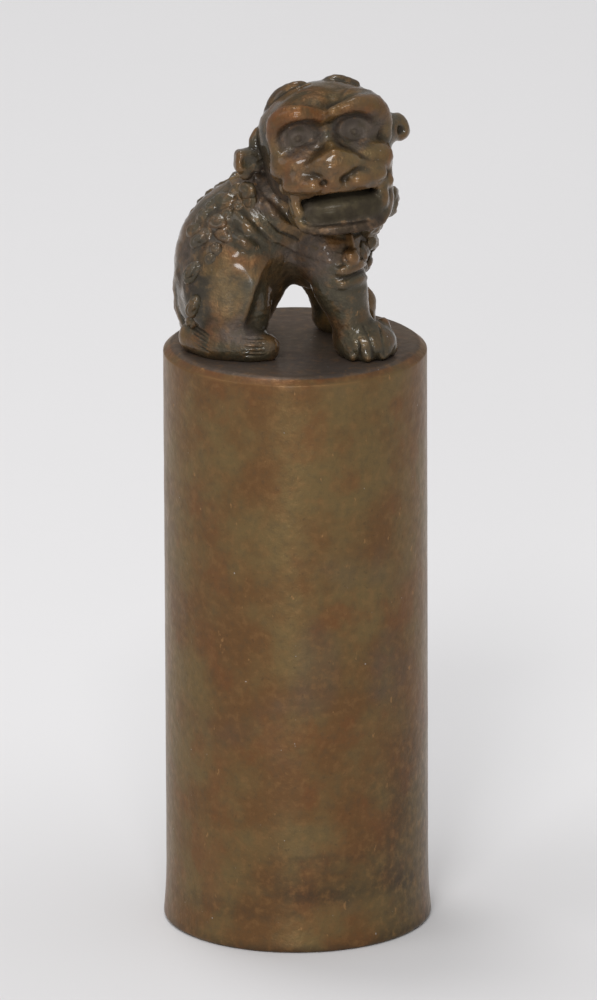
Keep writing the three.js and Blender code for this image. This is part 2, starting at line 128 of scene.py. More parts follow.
def fillet(first, second, blend):
    """How much a soft join adds where two forms meet, given the distance to each."""
    if not blend:
        return 0
    return np.maximum(blend - np.abs(first - second), 0) ** 2 / (4 * blend)


class Egg:
    """A ball with three radii."""

    def __init__(self, centre, radii, turn=(0, 0, 0)):
        self.centre = np.array(centre, np.float32)
        self.radii = np.broadcast_to(np.array(radii, np.float32), 3)
        self.axes = turned(*turn).astype(np.float32)
        reach = np.sqrt(((self.axes * self.radii) ** 2).sum(1))
        self.low, self.high = self.centre - reach, self.centre + reach

    def distance(self, points):
        local = (points - self.centre) @ self.axes
        near = np.sqrt(((local / self.radii) ** 2).sum(-1))
        slope = np.sqrt(((local / self.radii**2) ** 2).sum(-1))
        return near * (near - 1) / np.maximum(slope, 1e-6)


def smooth_path(points, steps):
    """Points on a smooth curve through the given ones."""
    points = np.array(points, float)
    ends = np.vstack([2 * points[0] - points[1], points, 2 * points[-1] - points[-2]])
    t = np.linspace(0, 1, steps, endpoint=False)[:, None]
    spans = []
    for a, b, c, d in zip(ends, ends[1:], ends[2:], ends[3:]):
        bend = (2 * a - 5 * b + 4 * c - d) * t**2 + (3 * b - a - 3 * c + d) * t**3
        spans.append(b + 0.5 * ((c - a) * t + bend))
    return np.vstack([*spans, points[-1:]])


class Limb:
    """A round form that swells and tapers along a smooth path."""

    def __init__(self, points, radii, steps=5):
        radii = np.broadcast_to(np.array(radii, float), len(points))
        path = smooth_path(np.column_stack([points, radii]), steps).astype(np.float32)
        self.path, self.radii = path[:, :3], np.maximum(path[:, 3], 0.02)
        self.low = (self.path - self.radii[:, None]).min(0)
        self.high = (self.path + self.radii[:, None]).max(0)

    def distance(self, points):
        nearest = None
        for start, end, radius, next_radius in zip(self.path, self.path[1:], self.radii, self.radii[1:]):
            along = end - start
            t = np.clip(((points - start) @ along) / max(along @ along, TINY), 0, 1)
            away = points - start - t[..., None] * along
            found = np.sqrt((away**2).sum(-1)) - (radius + (next_radius - radius) * t)
            nearest = found if nearest is None else np.minimum(nearest, found)
        return nearest


class Block:
    """A box with rounded edges."""

    def __init__(self, centre, half, turn=(0, 0, 0), rounding=0.0):
        self.centre, self.half = np.array(centre, np.float32), np.array(half, np.float32)
        self.axes, self.rounding = turned(*turn).astype(np.float32), rounding
        reach = np.abs(self.axes) @ self.half
        self.low, self.high = self.centre - reach, self.centre + reach

    def distance(self, points):
        over = np.abs((points - self.centre) @ self.axes) - (self.half - self.rounding)
        outside = np.sqrt((np.maximum(over, 0) ** 2).sum(-1))
        return outside + np.minimum(over.max(-1), 0) - self.rounding


class Clipped:
    """A form with a flat side, through a point and facing one way."""

    def __init__(self, form, point, facing, blend=0.3):
        self.form, self.blend = form, blend
        self.point = np.array(point, np.float32)
        self.facing = np.array(facing, np.float32) / np.linalg.norm(facing)
        self.low, self.high = form.low, form.high

    def distance(self, points):
        inside, beyond = self.form.distance(points), (points - self.point) @ self.facing
        return np.maximum(inside, beyond) + fillet(inside, beyond, self.blend)


class Ring:
    """A round wire bent into a circle that faces along its own z."""

    def __init__(self, centre, radius, wire, turn=(0, 0, 0)):
        self.centre, self.radius, self.wire = np.array(centre, np.float32), radius, wire
        self.axes = turned(*turn).astype(np.float32)
        self.low, self.high = self.centre - radius - wire, self.centre + radius + wire

    def distance(self, points):
        local = (points - self.centre) @ self.axes
        across = np.hypot(local[..., 0], local[..., 1]) - self.radius
        return np.hypot(across, local[..., 2]) - self.wire


class Clay:
    """Samples of the distance to a carved surface, each owned by one piece. Lengths are in millimetres."""

    FAR = 3.0  # distance of a sample that no form has reached
    ADD_MARGIN, CUT_MARGIN = 0.9, 0.5  # how far round a form its samples are worked out
    SIGHT = 30.0  # length of the line that looks for the skin
    WIDE, NARROW = 0.75, 0.22  # radii over which the open air and the bends of the skin are averaged
    TINT_EDGE = 1.4  # width over which a tint fades out
    STAIN_STRENGTH = 0.72
    FILM_COVER = 0.35  # share of the dirt that film hides

    def __init__(self, low, high, step):
        self.low, self.step = np.array(low, float), step
        self.count = np.ceil((np.array(high) - self.low) / step).astype(int) + 1
        self.axes = [self.low[i] + step * np.arange(self.count[i]) for i in range(3)]
        self.distance = np.full(self.count, self.FAR, np.float32)
        self.owner = np.zeros(self.count, np.int8)
        self.names = ["air"]
        self.shelter = []
        self.tints = {}

    def region(self, shape, margin):
        first = np.floor((shape.low - margin - self.low) / self.step).astype(int)
        last = np.ceil((shape.high + margin - self.low) / self.step).astype(int) + 1
        first, last = np.clip(first, 0, self.count), np.clip(last, 0, self.count)
        part = tuple(slice(a, b) for a, b in zip(first, last))
        mesh = np.meshgrid(*[self.axes[i][part[i]] for i in range(3)], indexing="ij")
        return part, np.stack(mesh, -1).astype(np.float32)

    def add(self, piece, shape, blend=0.0):
        part, points = self.region(shape, blend + self.ADD_MARGIN)
        self.merge(piece, part, shape.distance(points), blend)

    def merge(self, piece, part, added, blend):
        if piece not in self.names:
            self.names.append(piece)
        here = self.distance[part]
        self.owner[part] = np.where(added < here, self.names.index(piece), self.owner[part])
        self.distance[part] = np.minimum(here, added) - fillet(here, added, blend)

    def cut(self, shape, blend=0.0):
        part, points = self.region(shape, blend + self.CUT_MARGIN)
        here, hole = self.distance[part], -shape.distance(points)
        self.distance[part] = np.maximum(here, hole) + fillet(here, hole, blend)

    def groove(self, points, radius, blend=0.08):
        self.cut(Limb(points, radius), blend)

    def etch(self, side, line, radius, depth=0.0, blend=0.1):
        """Grooves the skin along (x, z) points, seen from one side."""
        points = [self.beside(side, x, z, 12)[0] for x, z in line]
        self.groove([(x, y - depth * side, z) for x, y, z in points], radius, blend)

    def strap(self, piece, side, edge, width, blend=0.1):
        """A raised band on the skin on one side of y = 0, along an edge of (x, z, how far it stands out)."""
        x, y, z = np.meshgrid(*self.axes, indexing="ij", sparse=True)
        along, up, out = zip(*edge)
        heights, proud = np.interp(x, along, up), np.interp(x, along, out)
        lean = np.sqrt(1 + np.gradient(heights, self.step, axis=0) ** 2)
        aside = np.abs(z - heights) / lean - width / 2
        band = np.maximum(np.maximum(self.distance - proud, aside), -y * side).astype(np.float32)
        self.merge(piece, (slice(None),) * 3, band, blend)

    def stand_on(self, height):
        below = (height - self.axes[2])[None, None, :]
        self.distance = np.maximum(self.distance, below.astype(np.float32))

    def sample(self, values, points):
        """Values between the samples, at the given points."""
        place = np.clip((points - self.low) / self.step, 0, self.count - 1.001)
        corner, t = place.astype(int), place % 1
        total = 0
        for i in (0, 1):
            for j in (0, 1):
                for k in (0, 1):
                    share = np.abs((1 - i - t[:, 0]) * (1 - j - t[:, 1]) * (1 - k - t[:, 2]))
                    total = total + share * values[corner[:, 0] + i, corner[:, 1] + j, corner[:, 2] + k]
        return total

    def touch(self, start, direction):
        """Where a straight line from outside meets the skin, and the way that the skin faces there."""
        direction = np.array(direction, float) / np.linalg.norm(direction)
        line = np.array(start, float) + np.arange(0, self.SIGHT, self.step / 2)[:, None] * direction
        within = ((line > self.low) & (line < self.low + self.step * (self.count - 1))).all(1)
        solid = within & (self.sample(self.distance, line) < 0)
        if not solid.any():
            raise ValueError(f"Nothing to touch from {start}")
        point = line[solid.argmax()]
        return point, self.facing(point[None])[0]

    def beside(self, side, x, z, start=10):
        """Where the skin is met from straight beside the lion, starting so far out."""
        return self.touch((x, start * side, z), (0, -side, 0))

    def facing(self, points):
        """The way that the surface faces at each point."""
        slope = np.stack([
            self.sample(self.distance, points + shift) - self.sample(self.distance, points - shift)
            for shift in self.step * np.eye(3)
        ], -1)
        return slope / np.maximum(np.linalg.norm(slope, axis=1, keepdims=True), TINY)

    def skin(self):
        """The corners of the surface and, for each piece, its closed faces."""
        state = np.where(self.distance < 0, self.owner, 0)
        cells = self.count - 1

        def corner_values(values, shift):
            return values[tuple(slice(shift[i], shift[i] + cells[i]) for i in range(3))]

        place = np.zeros((*cells, 3), np.float32)
        crossings = np.zeros(cells, np.float32)
        walls = np.zeros(cells, bool)
        for axis in range(3):
            first, second = [i for i in range(3) if i != axis]
            for u in (0, 1):
                for v in (0, 1):
                    start = [0, 0, 0]
                    start[first], start[second] = u, v
                    end = list(start)
                    end[axis] = 1
                    a, b = corner_values(self.distance, start), corner_values(self.distance, end)
                    crossed = (a < 0) != (b < 0)
                    walls |= corner_values(state, start) != corner_values(state, end)
                    t = np.where(crossed, a / np.where(crossed, a - b, 1), 0)
                    crossings += crossed
                    for i in range(3):
                        place[..., i] += np.where(crossed, start[i] + (t if i == axis else 0), 0)
        index = np.full(cells, -1, np.int64)
        index[walls] = np.arange(walls.sum())
        found = crossings[walls][:, None]
        inside = np.where(found > 0, place[walls] / np.maximum(found, 1), 0.5)
        corners = self.low + self.step * (np.argwhere(walls) + inside)
        return corners, self.faces(state, index)

    def faces(self, state, index):
        """A square for each edge between samples of different owners, kept by the piece that it closes."""
        faces = {name: [] for name in self.names[1:]}
        for axis in range(3):
            first, second = [i for i in range(3) if i != axis]
            low = [slice(1, n - 1) for n in self.count]
            low[axis] = slice(0, self.count[axis] - 1)
            high = list(low)
            high[axis] = slice(1, self.count[axis])
            a, b = state[tuple(low)], state[tuple(high)]
            edges = np.argwhere(a != b)
            owners = a[tuple(edges.T)], b[tuple(edges.T)]
            for i in (first, second):
                edges[:, i] += 1
            ring = []
            for u, v in ((-1, -1), (0, -1), (0, 0), (-1, 0)):
                cell = edges.copy()
                cell[:, first] += u
                cell[:, second] += v
                ring.append(index[tuple(cell.T)])
            quads = np.stack(ring, -1)
            if axis == 1:
                quads = quads[:, ::-1]
            for number, name in enumerate(self.names[1:], 1):
                faces[name] += [quads[owners[0] == number], quads[owners[1] == number][:, ::-1]]
        return {name: np.vstack(parts) for name, parts in faces.items()}

    def blurred(self, values, radius):
        """Values averaged over a soft ball, twice along each axis."""
        reach = max(1, round(radius / self.step))
        for axis in (0, 1, 2) * 2:
            ends = [(reach + 1, reach) if i == axis else (0, 0) for i in range(3)]
            padded = np.pad(values, ends, mode="edge")
            total = np.cumsum(padded, axis=axis, dtype=np.float64)
            size = values.shape[axis]
            ahead = np.take(total, range(2 * reach + 1, 2 * reach + 1 + size), axis=axis)
            behind = np.take(total, range(size), axis=axis)
            values = ((ahead - behind) / (2 * reach + 1)).astype(np.float32)
        return values

    def wear(self, corners):
        """How hollow, how rubbed and how tinted each corner of the surface is, from 0 to 1."""
        solid = (self.distance < 0).astype(np.float32)
        for shape in self.shelter:
            part, points = self.region(shape, 0)
            if 0 not in points.shape:
                solid[part] = np.maximum(solid[part], shape.distance(points) < 0)
        open_air = 1.03 - self.sample(self.blurred(solid, self.WIDE), corners)
        bend = self.sample(self.blurred(np.clip(self.distance, -0.5, 0.5), self.NARROW), corners)
        marks = {
            "hollow": np.clip(0.5 - bend * 9 + (0.5 - open_air) * 1.6, 0, 1),
            "worn": np.clip(bend * 8 + (open_air - 0.56) * 2.2, 0, 1),
        }
        ragged = 0.5 * unevenness(corners, 5, 1.2)
        for tint, places in self.tints.items():
            marks[tint] = np.zeros(len(corners))
            for centre, radii in places:
                away = Egg(centre, radii).distance(corners) + ragged
                inside = np.clip(0.5 - away / self.TINT_EDGE, 0, 1)
                marks[tint] = np.maximum(marks[tint], inside * inside * (3 - 2 * inside))
        marks["stain"] *= self.STAIN_STRENGTH
        marks["hollow"] = np.maximum(marks["hollow"] - self.FILM_COVER * marks["film"], 0)
        return marks


def unevenness(points, seed, size):
    """Smooth unevenness from about -1 to 1, with bumps of about the given size, from waves that cross."""
    chance = np.random.default_rng(seed)
    waves, tightness, height = 14, 2.2, 5
    total = 0
    for _ in range(waves):
        way = chance.normal(size=3)
        total = total + np.sin(points @ (way * tightness / size) + chance.uniform(0, 2 * math.pi))
    return total / height


# The lion's own frame has its origin in the middle of the shank's top. The body looks along +x and the face
# along -y

STAMP_TOP = SHANK_HIGH[2] / MM
HEAD_PLACE = np.array([2.75, -2.0, 18.2])
HEAD_TURN = turned(-6, -8, 8)


def from_head(points):
    """Points given in the head's own frame, whose origin is in the skull and whose face looks along -y."""
    return np.asarray(points) @ HEAD_TURN.T + HEAD_PLACE


def on_side(side, points, setback=0.0):
    """Points of a limb on one side, set back by so much."""
    return [(x - setback, y * side, z) for x, y, z in points]


# Centre and radii, in the head's frame
SKULL = (0, 0.4, 1.1), (5.8, 5.3, 4.6)


def carve_skull(clay):
    clay.add("skull", Egg(*SKULL))
    clay.add("skull", Egg((0, -0.5, -1.9), (5.4, 4.9, 3.6)), 1.5)
    clay.add("skull", Egg((-1.1, -2.3, 2.9), (3.3, 2.5, 2.45), (0, -8, 0)), 1.2)
    clay.add("skull", Egg((2.7, -2.8, 3.2), (2.5, 2.4, 2.1), (0, 8, 0)), 0.5)
    clay.groove([(0.2, -5.3, 4.4), (1.2, -4.2, 5.1), (2.2, -2.8, 5.4)], [0.08, 0.1, 0.06], 0.6)
    clay.add("skull", Egg((-3.1, -3.5, -0.6), (2.1, 1.35, 1.4)), 1.1)
    clay.add("skull", Egg((3.1, -3.4, -0.9), (2.1, 1.35, 1.4)), 1.1)


def carve_brows(clay):
    clay.add("brow_right", Limb(
        [(-0.8, -5.1, 3.8), (-2.4, -5.2, 4.2), (-3.9, -4.6, 4.0), (-4.6, -4.0, 2.9), (-4.6, -3.7, 1.1),
         (-4.5, -3.6, -0.6)],
        [0.55, 0.9, 0.9, 0.75, 0.65, 0.7]), 1.1)
    clay.add("brow_left", Limb(
        [(0.4, -5.2, 3.7), (1.7, -5.3, 4.1), (3.1, -4.9, 4.15), (4.3, -4.0, 3.5), (4.9, -3.0, 2.3),
         (4.9, -2.6, 0.8)],
        [0.5, 0.65, 0.8, 0.9, 0.9, 0.7]), 0.7)
    clay.add("brow_left", Egg((0.55, -5.7, 4.0), (0.5, 0.4, 0.4)), 0.5)


def carve_eyes(clay):
    clay.cut(Egg((-2.6, -6.2, 2.25), (2.4, 2.3, 1.5), (0, -6, 0)), 0.3)
    clay.cut(Egg((2.3, -6.2, 2.0), (2.5, 2.3, 1.6), (0, 8, 0)), 0.3)
    for piece, x, z in (("eye_right", -2.7, 2.0), ("eye_left", 2.2, 1.72)):
        clay.add(piece, Egg((x, -3.7, z), (2.2, 0.65, 1.5)), 0.4)
        clay.add(piece, Ring((x, -4.2, z), 1.15, 0.13, (90, 0, 0)), 0.25)
        clay.cut(Ring((x, -4.5, z), 0.65, 0.13, (90, 0, 0)), 0.2)
        clay.add(piece, Egg((x, -4.3, z), 0.27), 0.2)
    for shift in (0.0, 0.45):
        fold = [(-1.5 + shift, -5.0, 2.9), (-1.1 + shift, -5.2, 2.0), (-0.8 + shift, -5.5, 1.2)]
        clay.groove(fold, 0.07, 0.25)
    clay.groove([(-4.3, -4.3, -0.1), (-3.2, -5.0, -0.4)], 0.05, 0.3)


def carve_muzzle(clay):
    bridge = [(-0.5, -3.8, 3.0), (-0.3, -4.2, 1.9), (0.0, -5.3, 0.75), (0.1, -5.7, 0.0)]
    clay.add("nose", Limb(bridge, [0.5, 0.5, 0.65, 0.9]), 0.4)
    clay.add("muzzle", Egg((-2.6, -4.3, -0.2), (2.3, 1.25, 1.1), (0, -6, 0)), 0.9)
    clay.add("muzzle", Egg((2.7, -4.1, -0.6), (2.4, 1.3, 1.2), (0, 8, 0)), 0.9)
    clay.add("nose", Egg((-0.1, -5.6, -0.5), (2.2, 1.5, 1.4)), 0.5)
    clay.add("muzzle", Egg((-2.6, -4.9, -1.9), (2.2, 1.6, 1.0)), 0.4)
    clay.add("muzzle", Egg((2.0, -5.0, -2.1), (2.4, 1.6, 1.0)), 0.4)
    clay.add("muzzle", Egg((-2.7, -4.9, -1.3), (1.8, 1.25, 1.1)), 0.5)
    clay.add("muzzle", Egg((2.4, -4.8, -1.6), (1.8, 1.25, 0.9)), 0.5)
    clay.add("nose", Limb(
        [(-4.4, -4.2, -0.6), (-3.2, -5.1, -0.65), (-2.0, -5.7, -0.5), (-1.1, -6.1, 0.05), (0.0, -6.25, 0.35)],
        [0.35, 0.45, 0.45, 0.5, 0.4]), 0.4)
    clay.add("nose", Limb(
        [(4.4, -3.9, -1.7), (3.3, -4.9, -1.45), (2.5, -5.4, -1.2), (1.2, -6.0, -0.25), (0.0, -6.25, 0.35)],
        [0.35, 0.4, 0.45, 0.5, 0.4]), 0.4)
    clay.add("nose", Egg((-0.45, -6.1, -1.6), (0.95, 0.85, 1.1)), 0.4)
    for side, x, z, nostril in ((RIGHT, -2.2, -2.0, -1.35), (LEFT, 1.7, -2.15, 0.5)):
        clay.add("nose", Egg((x, -6.05, z), (1.05, 0.95, 0.75)), 0.45)
        clay.cut(Egg((nostril, -7.1, -1.8), (0.42, 0.7, 0.34), (0, -20 * side, 0)), 0.2)
    clay.add("muzzle", Limb(
        [(-4.5, -3.9, -2.3), (-3.6, -5.0, -2.7), (-2.0, -5.8, -2.75), (-0.6, -6.15, -2.6), (1.5, -6.0, -2.75),
         (3.0, -5.3, -2.95), (4.4, -4.0, -3.1)],
        [0.45, 0.4, 0.35, 0.35, 0.35, 0.4, 0.5]), 0.5)
    for height in (-1.1, -1.7):
        fold = [(4.0, -4.4, height), (4.7, -3.6, height - 0.1), (5.2, -2.4, height)]
        clay.groove(fold, [0.08, 0.08, 0.05], 0.25)


def carve_jaw(clay):
    clay.add("lower_jaw", Egg((0, -2.6, -5.0), (4.5, 3.5, 2.15)), 0.6)
    hinge = [(4.1, -2.9, -2.6), (3.9, -3.0, -4.2), (3.4, -3.2, -5.6)]
    clay.add("lower_jaw", Limb(hinge, [0.95, 0.95, 1.0]), 0.8)
    clay.add("lower_jaw", Limb(
        [(-3.9, -3.4, -3.8), (-3.8, -4.8, -4.9), (-3.3, -5.5, -5.75), (-1.3, -6.15, -6.1),
         (1.4, -6.05, -6.25), (2.9, -5.2, -6.35), (3.6, -4.4, -6.0), (4.0, -3.4, -4.8)],
        [0.5, 0.45, 0.42, 0.42, 0.42, 0.42, 0.45, 0.5]), 0.6)
    clay.cut(Block((0.2, -6.3, -4.35), (3.05, 3.5, 1.3), (0, 4, 0), 0.8), 0.25)
    clay.add("tongue", Egg((0.1, -4.1, -4.6), (3.5, 2.1, 1.5), (0, 2, 0)), 0.5)
    clay.add("tongue", Block((0.0, -3.65, -5.0), (3.4, 2.1, 1.35), (0, 3, 0), 1.2), 0.6)
    fold = [(-3.75, -4.9, -2.9), (-3.85, -5.0, -3.6), (-3.7, -5.15, -4.3)]
    clay.add("muzzle", Limb(fold, [0.5, 0.42, 0.45]), 0.35)
    clay.add("lower_jaw", Egg((3.7, -4.6, -4.1), (0.6, 0.7, 1.1)), 0.5)


def carve_ears(clay):
    clay.add("ear_right", Limb([(-4.8, 0.9, -0.1), (-6.6, 0.6, 0.1)], [1.0, 0.95]), 0.3)
    clay.add("ear_right", Block((-6.85, 0.4, -0.1), (1.2, 0.75, 1.0), (0, 12, 8), 0.5), 0.25)
    clay.add("ear_right", Egg((-7.2, 0.4, -1.1), (0.6, 0.6, 0.6)), 0.3)
    clay.cut(Egg((-6.9, -0.75, -0.1), (0.8, 0.5, 0.6), (0, 15, 0)), 0.25)
    clay.groove([(-4.9, -0.2, -0.1), (-6.0, -0.35, -0.2)], 0.14, 0.15)
    clay.add("ear_left", Limb([(4.6, -0.4, 0.9), (6.2, 0.3, 0.6)], [1.5, 1.15]), 0.8)
    clay.add("ear_left", Egg((6.55, 0.4, 0.5), (0.95, 0.95, 1.25), (0, -12, 0)), 0.3)
    clay.cut(Egg((6.75, -0.8, 0.3), (0.45, 0.5, 0.6), (0, -12, 0)), 0.25)


def carve_crest(clay):
    right_lock = [(-4.5, 1.4, 2.4), (-3.8, 1.4, 3.8), (-2.9, 1.3, 4.8), (-1.7, 1.1, 5.4), (-0.9, 1.0, 5.6)]
    clay.add("crest_lock_right", Limb(right_lock, [0.6, 0.8, 0.8, 0.6, 0.25]), 0.1)
    clay.groove([(-4.3, 0.0, 2.8), (-3.2, -0.1, 4.1), (-1.9, -0.1, 5.1), (-0.6, 0.2, 5.5)], 0.22, 0.15)
    left_lock = [(0.5, 1.7, 4.7), (1.3, 1.6, 5.05), (2.2, 1.5, 5.1), (3.45, 1.2, 4.7)]
    clay.add("crest_lock_left", Limb(left_lock, [0.55, 0.7, 0.7, 0.45]), 0.12)
    clay.groove([(0.6, 0.95, 4.8), (1.8, 0.8, 5.15), (3.0, 0.6, 4.8)], 0.12, 0.2)
    for number, angle in enumerate(np.linspace(22, 158, 9)):
        strand = []
        for height in (62, 40, 18, -4, -24):
            turn, rise = math.radians(angle + 7 * math.sin(height / 12 + number)), math.radians(height)
            way = (math.cos(turn) * math.cos(rise), math.sin(turn) * math.cos(rise), math.sin(rise))
            strand.append([middle + radius * part for middle, radius, part in zip(*SKULL, way)])
        clay.groove(strand, [0.08, 0.22, 0.25, 0.22, 0.1], 0.3)
    clay.add("skull", Limb([(-5.5, 0.9, 2.2), (-5.95, 0.7, 1.2), (-5.6, 0.7, 0.2)], [0.4, 0.6, 0.4]), 0.15)
    clay.add("skull", Limb([(5.2, 1.6, 3.0), (5.5, 1.3, 2.0), (5.4, 1.2, 1.1)], [0.4, 0.6, 0.4]), 0.15)


# Places that the patina marks, each an egg's centre and radii
HEAD_TINTS = {
    "dull": [((-0.4, -3.6, 5.0), (3.6, 3.4, 1.4)), ((0, -5.4, -4.8), (3.4, 1.8, 1.3))],
    "film": [((-2.6, -4, 2.2), (2.6, 3, 1.7)), ((2.4, -4, 2.0), (2.6, 3, 1.7)),
             ((-4.8, 0, -3.5), (2.4, 4, 3.5)), ((0, -6, -6.3), (4.4, 1.6, 0.9))],
    "ember": [((-3.2, -4.5, 4.2), (3.2, 3, 1.4)), ((-0.8, -4, 4.4), (1.6, 3, 2.2)),
              ((3.6, -4, 3.6), (2.4, 3, 1)), ((-3.6, -5, -0.9), (1.8, 2, 1.2)),
              ((4.6, -4, -1.2), (1, 2, 1.2))],
    "moss": [((0, -5, -4.6), (3.6, 2.5, 1.6)), ((-6.9, 0, 0), (1.2, 2, 2)),
             ((-0.2, -4.2, 2.5), (0.9, 1.6, 1.5))],
    "stain": [((0, -6, -6.3), (4.2, 1.6, 0.9)), ((-3.4, 1.6, 4.7), (2.6, 1.4, 2.4)),
              ((2.0, 1.8, 5.2), (2.4, 1.2, 1.2)), ((-6.0, -2.0, 0.5), (1.0, 2.2, 3.6)),
              ((0.0, -5.4, -4.8), (3.4, 1.8, 1.3))],
}
BODY_TINTS = {
    "dull": [((-5.0, -6, 2.8), (2.6, 2.0, 1.2)), ((-5.5, 6, 2.8), (2.6, 2.0, 1.2))],
    "film": [((1.6, -3, 9), (2.6, 5, 2.2)), ((-2.6, -3, 14.8), (2.2, 4, 2.2)), ((-9.6, -3, 8), (1.2, 2, 3)),
             ((-5.2, -6, 2.6), (2.4, 1.6, 1.3))],
    "ember": [((-5.6, -5.5, 9.4), (2.6, 2.5, 1.1)), ((-7.6, -5, 2.0), (2, 3, 0.9)),
              ((3.4, -6, 3), (1.8, 2.4, 1.6)), ((-6.6, 5.5, 9), (2.6, 2.5, 2)), ((5, 5, 4), (2, 3, 2))],
    "moss": [((-3.6, -5, 11.4), (2.6, 3, 1.9)), ((4.4, -4, 6), (2.6, 4, 3)), ((-3.4, -5, 4), (1.2, 4, 3)),
             ((-9.2, -5, 4.6), (1.2, 4, 3.2)), ((-4.8, -6.5, 1.4), (3.4, 1.5, 1.1)), ((-6, 5, 13), (3, 3, 3)),
             ((3, 5, 7), (2, 3, 4)), ((6.4, -5.5, 1.2), (3, 2.5, 2))],
    "stain": [((-7.2, -4, 11.6), (2.4, 4, 2.6)), ((7.4, -2, 10), (1.4, 3, 3)), ((-8.6, -4, 6), (1.2, 4, 4))],
}


def carve_head(step):
    clay = Clay((-9, -9, -9), (9, 8.5, 8), step)
    for carve in (carve_skull, carve_brows, carve_eyes, carve_muzzle, carve_jaw, carve_ears, carve_crest):
        carve(clay)
    clay.shelter = [Egg((0, 2.4, -8.2), (5.6, 4.4, 4.2))]
    clay.tints = HEAD_TINTS
    return clay


def carve_torso(clay):
    spine = [(-5.9, 0.3, 4.4), (-4.9, 0.2, 8.3), (-2.2, 0.3, 11.2), (1.2, 0.3, 13.3)]
    clay.add("trunk", Limb(spine, [4.4, 5.3, 4.45, 3.7]))
    clay.add("chest", Egg((2.3, 0.1, 9), (4.4, 4.2, 4.2)), 1.0)
    clay.add("mane_ruff", Egg((2.6, 0.4, 12.8), (5.3, 4.7, 4.2)), 0.8)


def carve_foreleg(clay, side, name, setback):
    leg = on_side(side, [(3.2, 3.0, 8.6), (3.9, 3.5, 6.2), (4.5, 3.8, 4.2), (5.2, 4.0, 2.0)], setback)
    clay.add(f"shoulder_{name}", Egg((2.8, 2.9 * side, 9.2), (2.7, 2.2, 3.4)), 0.6)
    clay.add(f"foreleg_{name}", Limb(leg, [2.5, 2.4, 1.95, 1.75]), 0.5)
    paw = Egg((6.0 - setback, 4.1 * side, 1.2), (2.8, 2.5, 1.9), (0, 0, 15 * side))
    clay.add(f"forepaw_{name}", paw, 0.5)
    toes = ((4.9, 5.6, 0.72), (6.2, 5.9, 0.8), (7.5, 5.3, 0.8), (8.2, 4.0, 0.75))
    for x, y, radius in toes:
        tip = (x - setback, y * side, 0.7)
        knuckle = (x - setback - 0.6, (y - 0.9) * side, 2.35)
        clay.add(f"forepaw_{name}", Limb([knuckle, tip], [radius - 0.05, radius]), 0.3)
        clay.add(f"forepaw_{name}", Egg((x - setback + 0.1, (y + 0.5) * side, 0.4), (0.35, 0.5, 0.35)), 0.25)
    for x, spread in ((4.5, 5.5), (5.9, 6.6), (7.2, 7.6)):
        line = [(x - setback, 3.0), (spread - setback, 1.8), (spread - setback + 0.15, 0.5)]
        clay.etch(side, line, [0.05, 0.08, 0.1], 0.0, 0.15)
    if side == LEFT:
        clay.add("forepaw_left", Egg((5.7, 3.6, 2.4), (1.4, 1.4, 1.65)), 0.3)
    for height in (6.9, 8.15):
        ridge = on_side(side, [
            (3.2, 5.15, height), (4.1, 5.65, height - 0.1), (5.4, 4.95, height + 0.15), (6.1, 3.75, height),
        ], setback)
        clay.add(f"foreleg_{name}", Limb(ridge, [0.2, 0.45, 0.45, 0.2]), 0.3)


def carve_hind_leg(clay, side, name, setback):
    thigh = Egg((-5.4, 2.9 * side, 5.9), (4.3, 4.5, 4.8), (0, 8, 0))
    thigh = Clipped(thigh, (-5.5, 5.7 * side, 5.6), (-0.1, side, 0.08), 1.3)
    thigh = Clipped(thigh, (-7.6, 5.6 * side, 6.0), (-0.6, 0.8 * side, 0.1), 0.6)
    thigh = Clipped(thigh, (-2.9, 5.6 * side, 7.8), (0.85, 0.38 * side, -0.26), 0.2)
    clay.add(f"hind_leg_{name}", thigh, 0.8)
    shin = on_side(side, [(-6.0, 3.4, 6.6), (-5.9, 3.8, 4.4), (-5.9, 4.0, 2.2)])
    clay.add(f"hind_leg_{name}", Limb(shin, [1.8, 1.7, 1.7]), 0.5)
    inner = on_side(side, [(-4.2, 3.0, 7.0), (-3.9, 3.2, 4.5), (-4.0, 3.4, 2.0)])
    clay.add(f"hind_leg_{name}", Limb(inner, [2.1, 1.9, 1.5]), 0.4)
    foot = [(-8.7, 2.6, 1.3), (-6.8, 4.4, 1.15), (-4.1 - setback, 5.1, 1.15), (-2.6 - setback, 5.2, 1.0)]
    clay.add(f"hind_foot_{name}", Limb(on_side(side, foot), [1.45, 1.5, 1.6, 1.3]), 0.7)
    for number in range(5):
        height = 2.2 - 0.36 * number
        front = [(-4.6 - setback, height), (-3.7 - setback, height - 0.05), (-2.7 - setback, height - 0.1)]
        clay.etch(side, front, [0.05, 0.1, 0.07], 0.02, 0.06)
        back = [(-8.8, height + 0.55), (-8.1, height + 0.3), (-7.4, height - 0.05)]
        clay.etch(side, back, [0.06, 0.1, 0.06], 0.02, 0.06)


def carve_tail(clay):
    path = [(-8.8, 0.4, 0.7), (-9.5, 0.5, 3.0), (-9.7, 0.0, 5.6), (-9.6, -1.4, 6.6), (-9.3, -2.1, 5.2)]
    clay.add("tail", Limb(path, [0.8, 0.95, 0.9, 0.75, 0.5]), 0.15)
    for shift in (-0.35, 0.25):
        clay.groove([(x - 0.95, y + shift, z) for x, y, z in path[:4]], 0.1, 0.1)


# The collar's middle line, seen from the side: x, z and how far it stands out
COLLAR = [(-6.5, 17.2, 0.1), (-3.2, 13.3, 0.12), (-1.4, 11.3, 0.16), (0.3, 10.3, 0.02), (4.4, 9.5, 0.02),
          (10.0, 9.6, 0.1)]


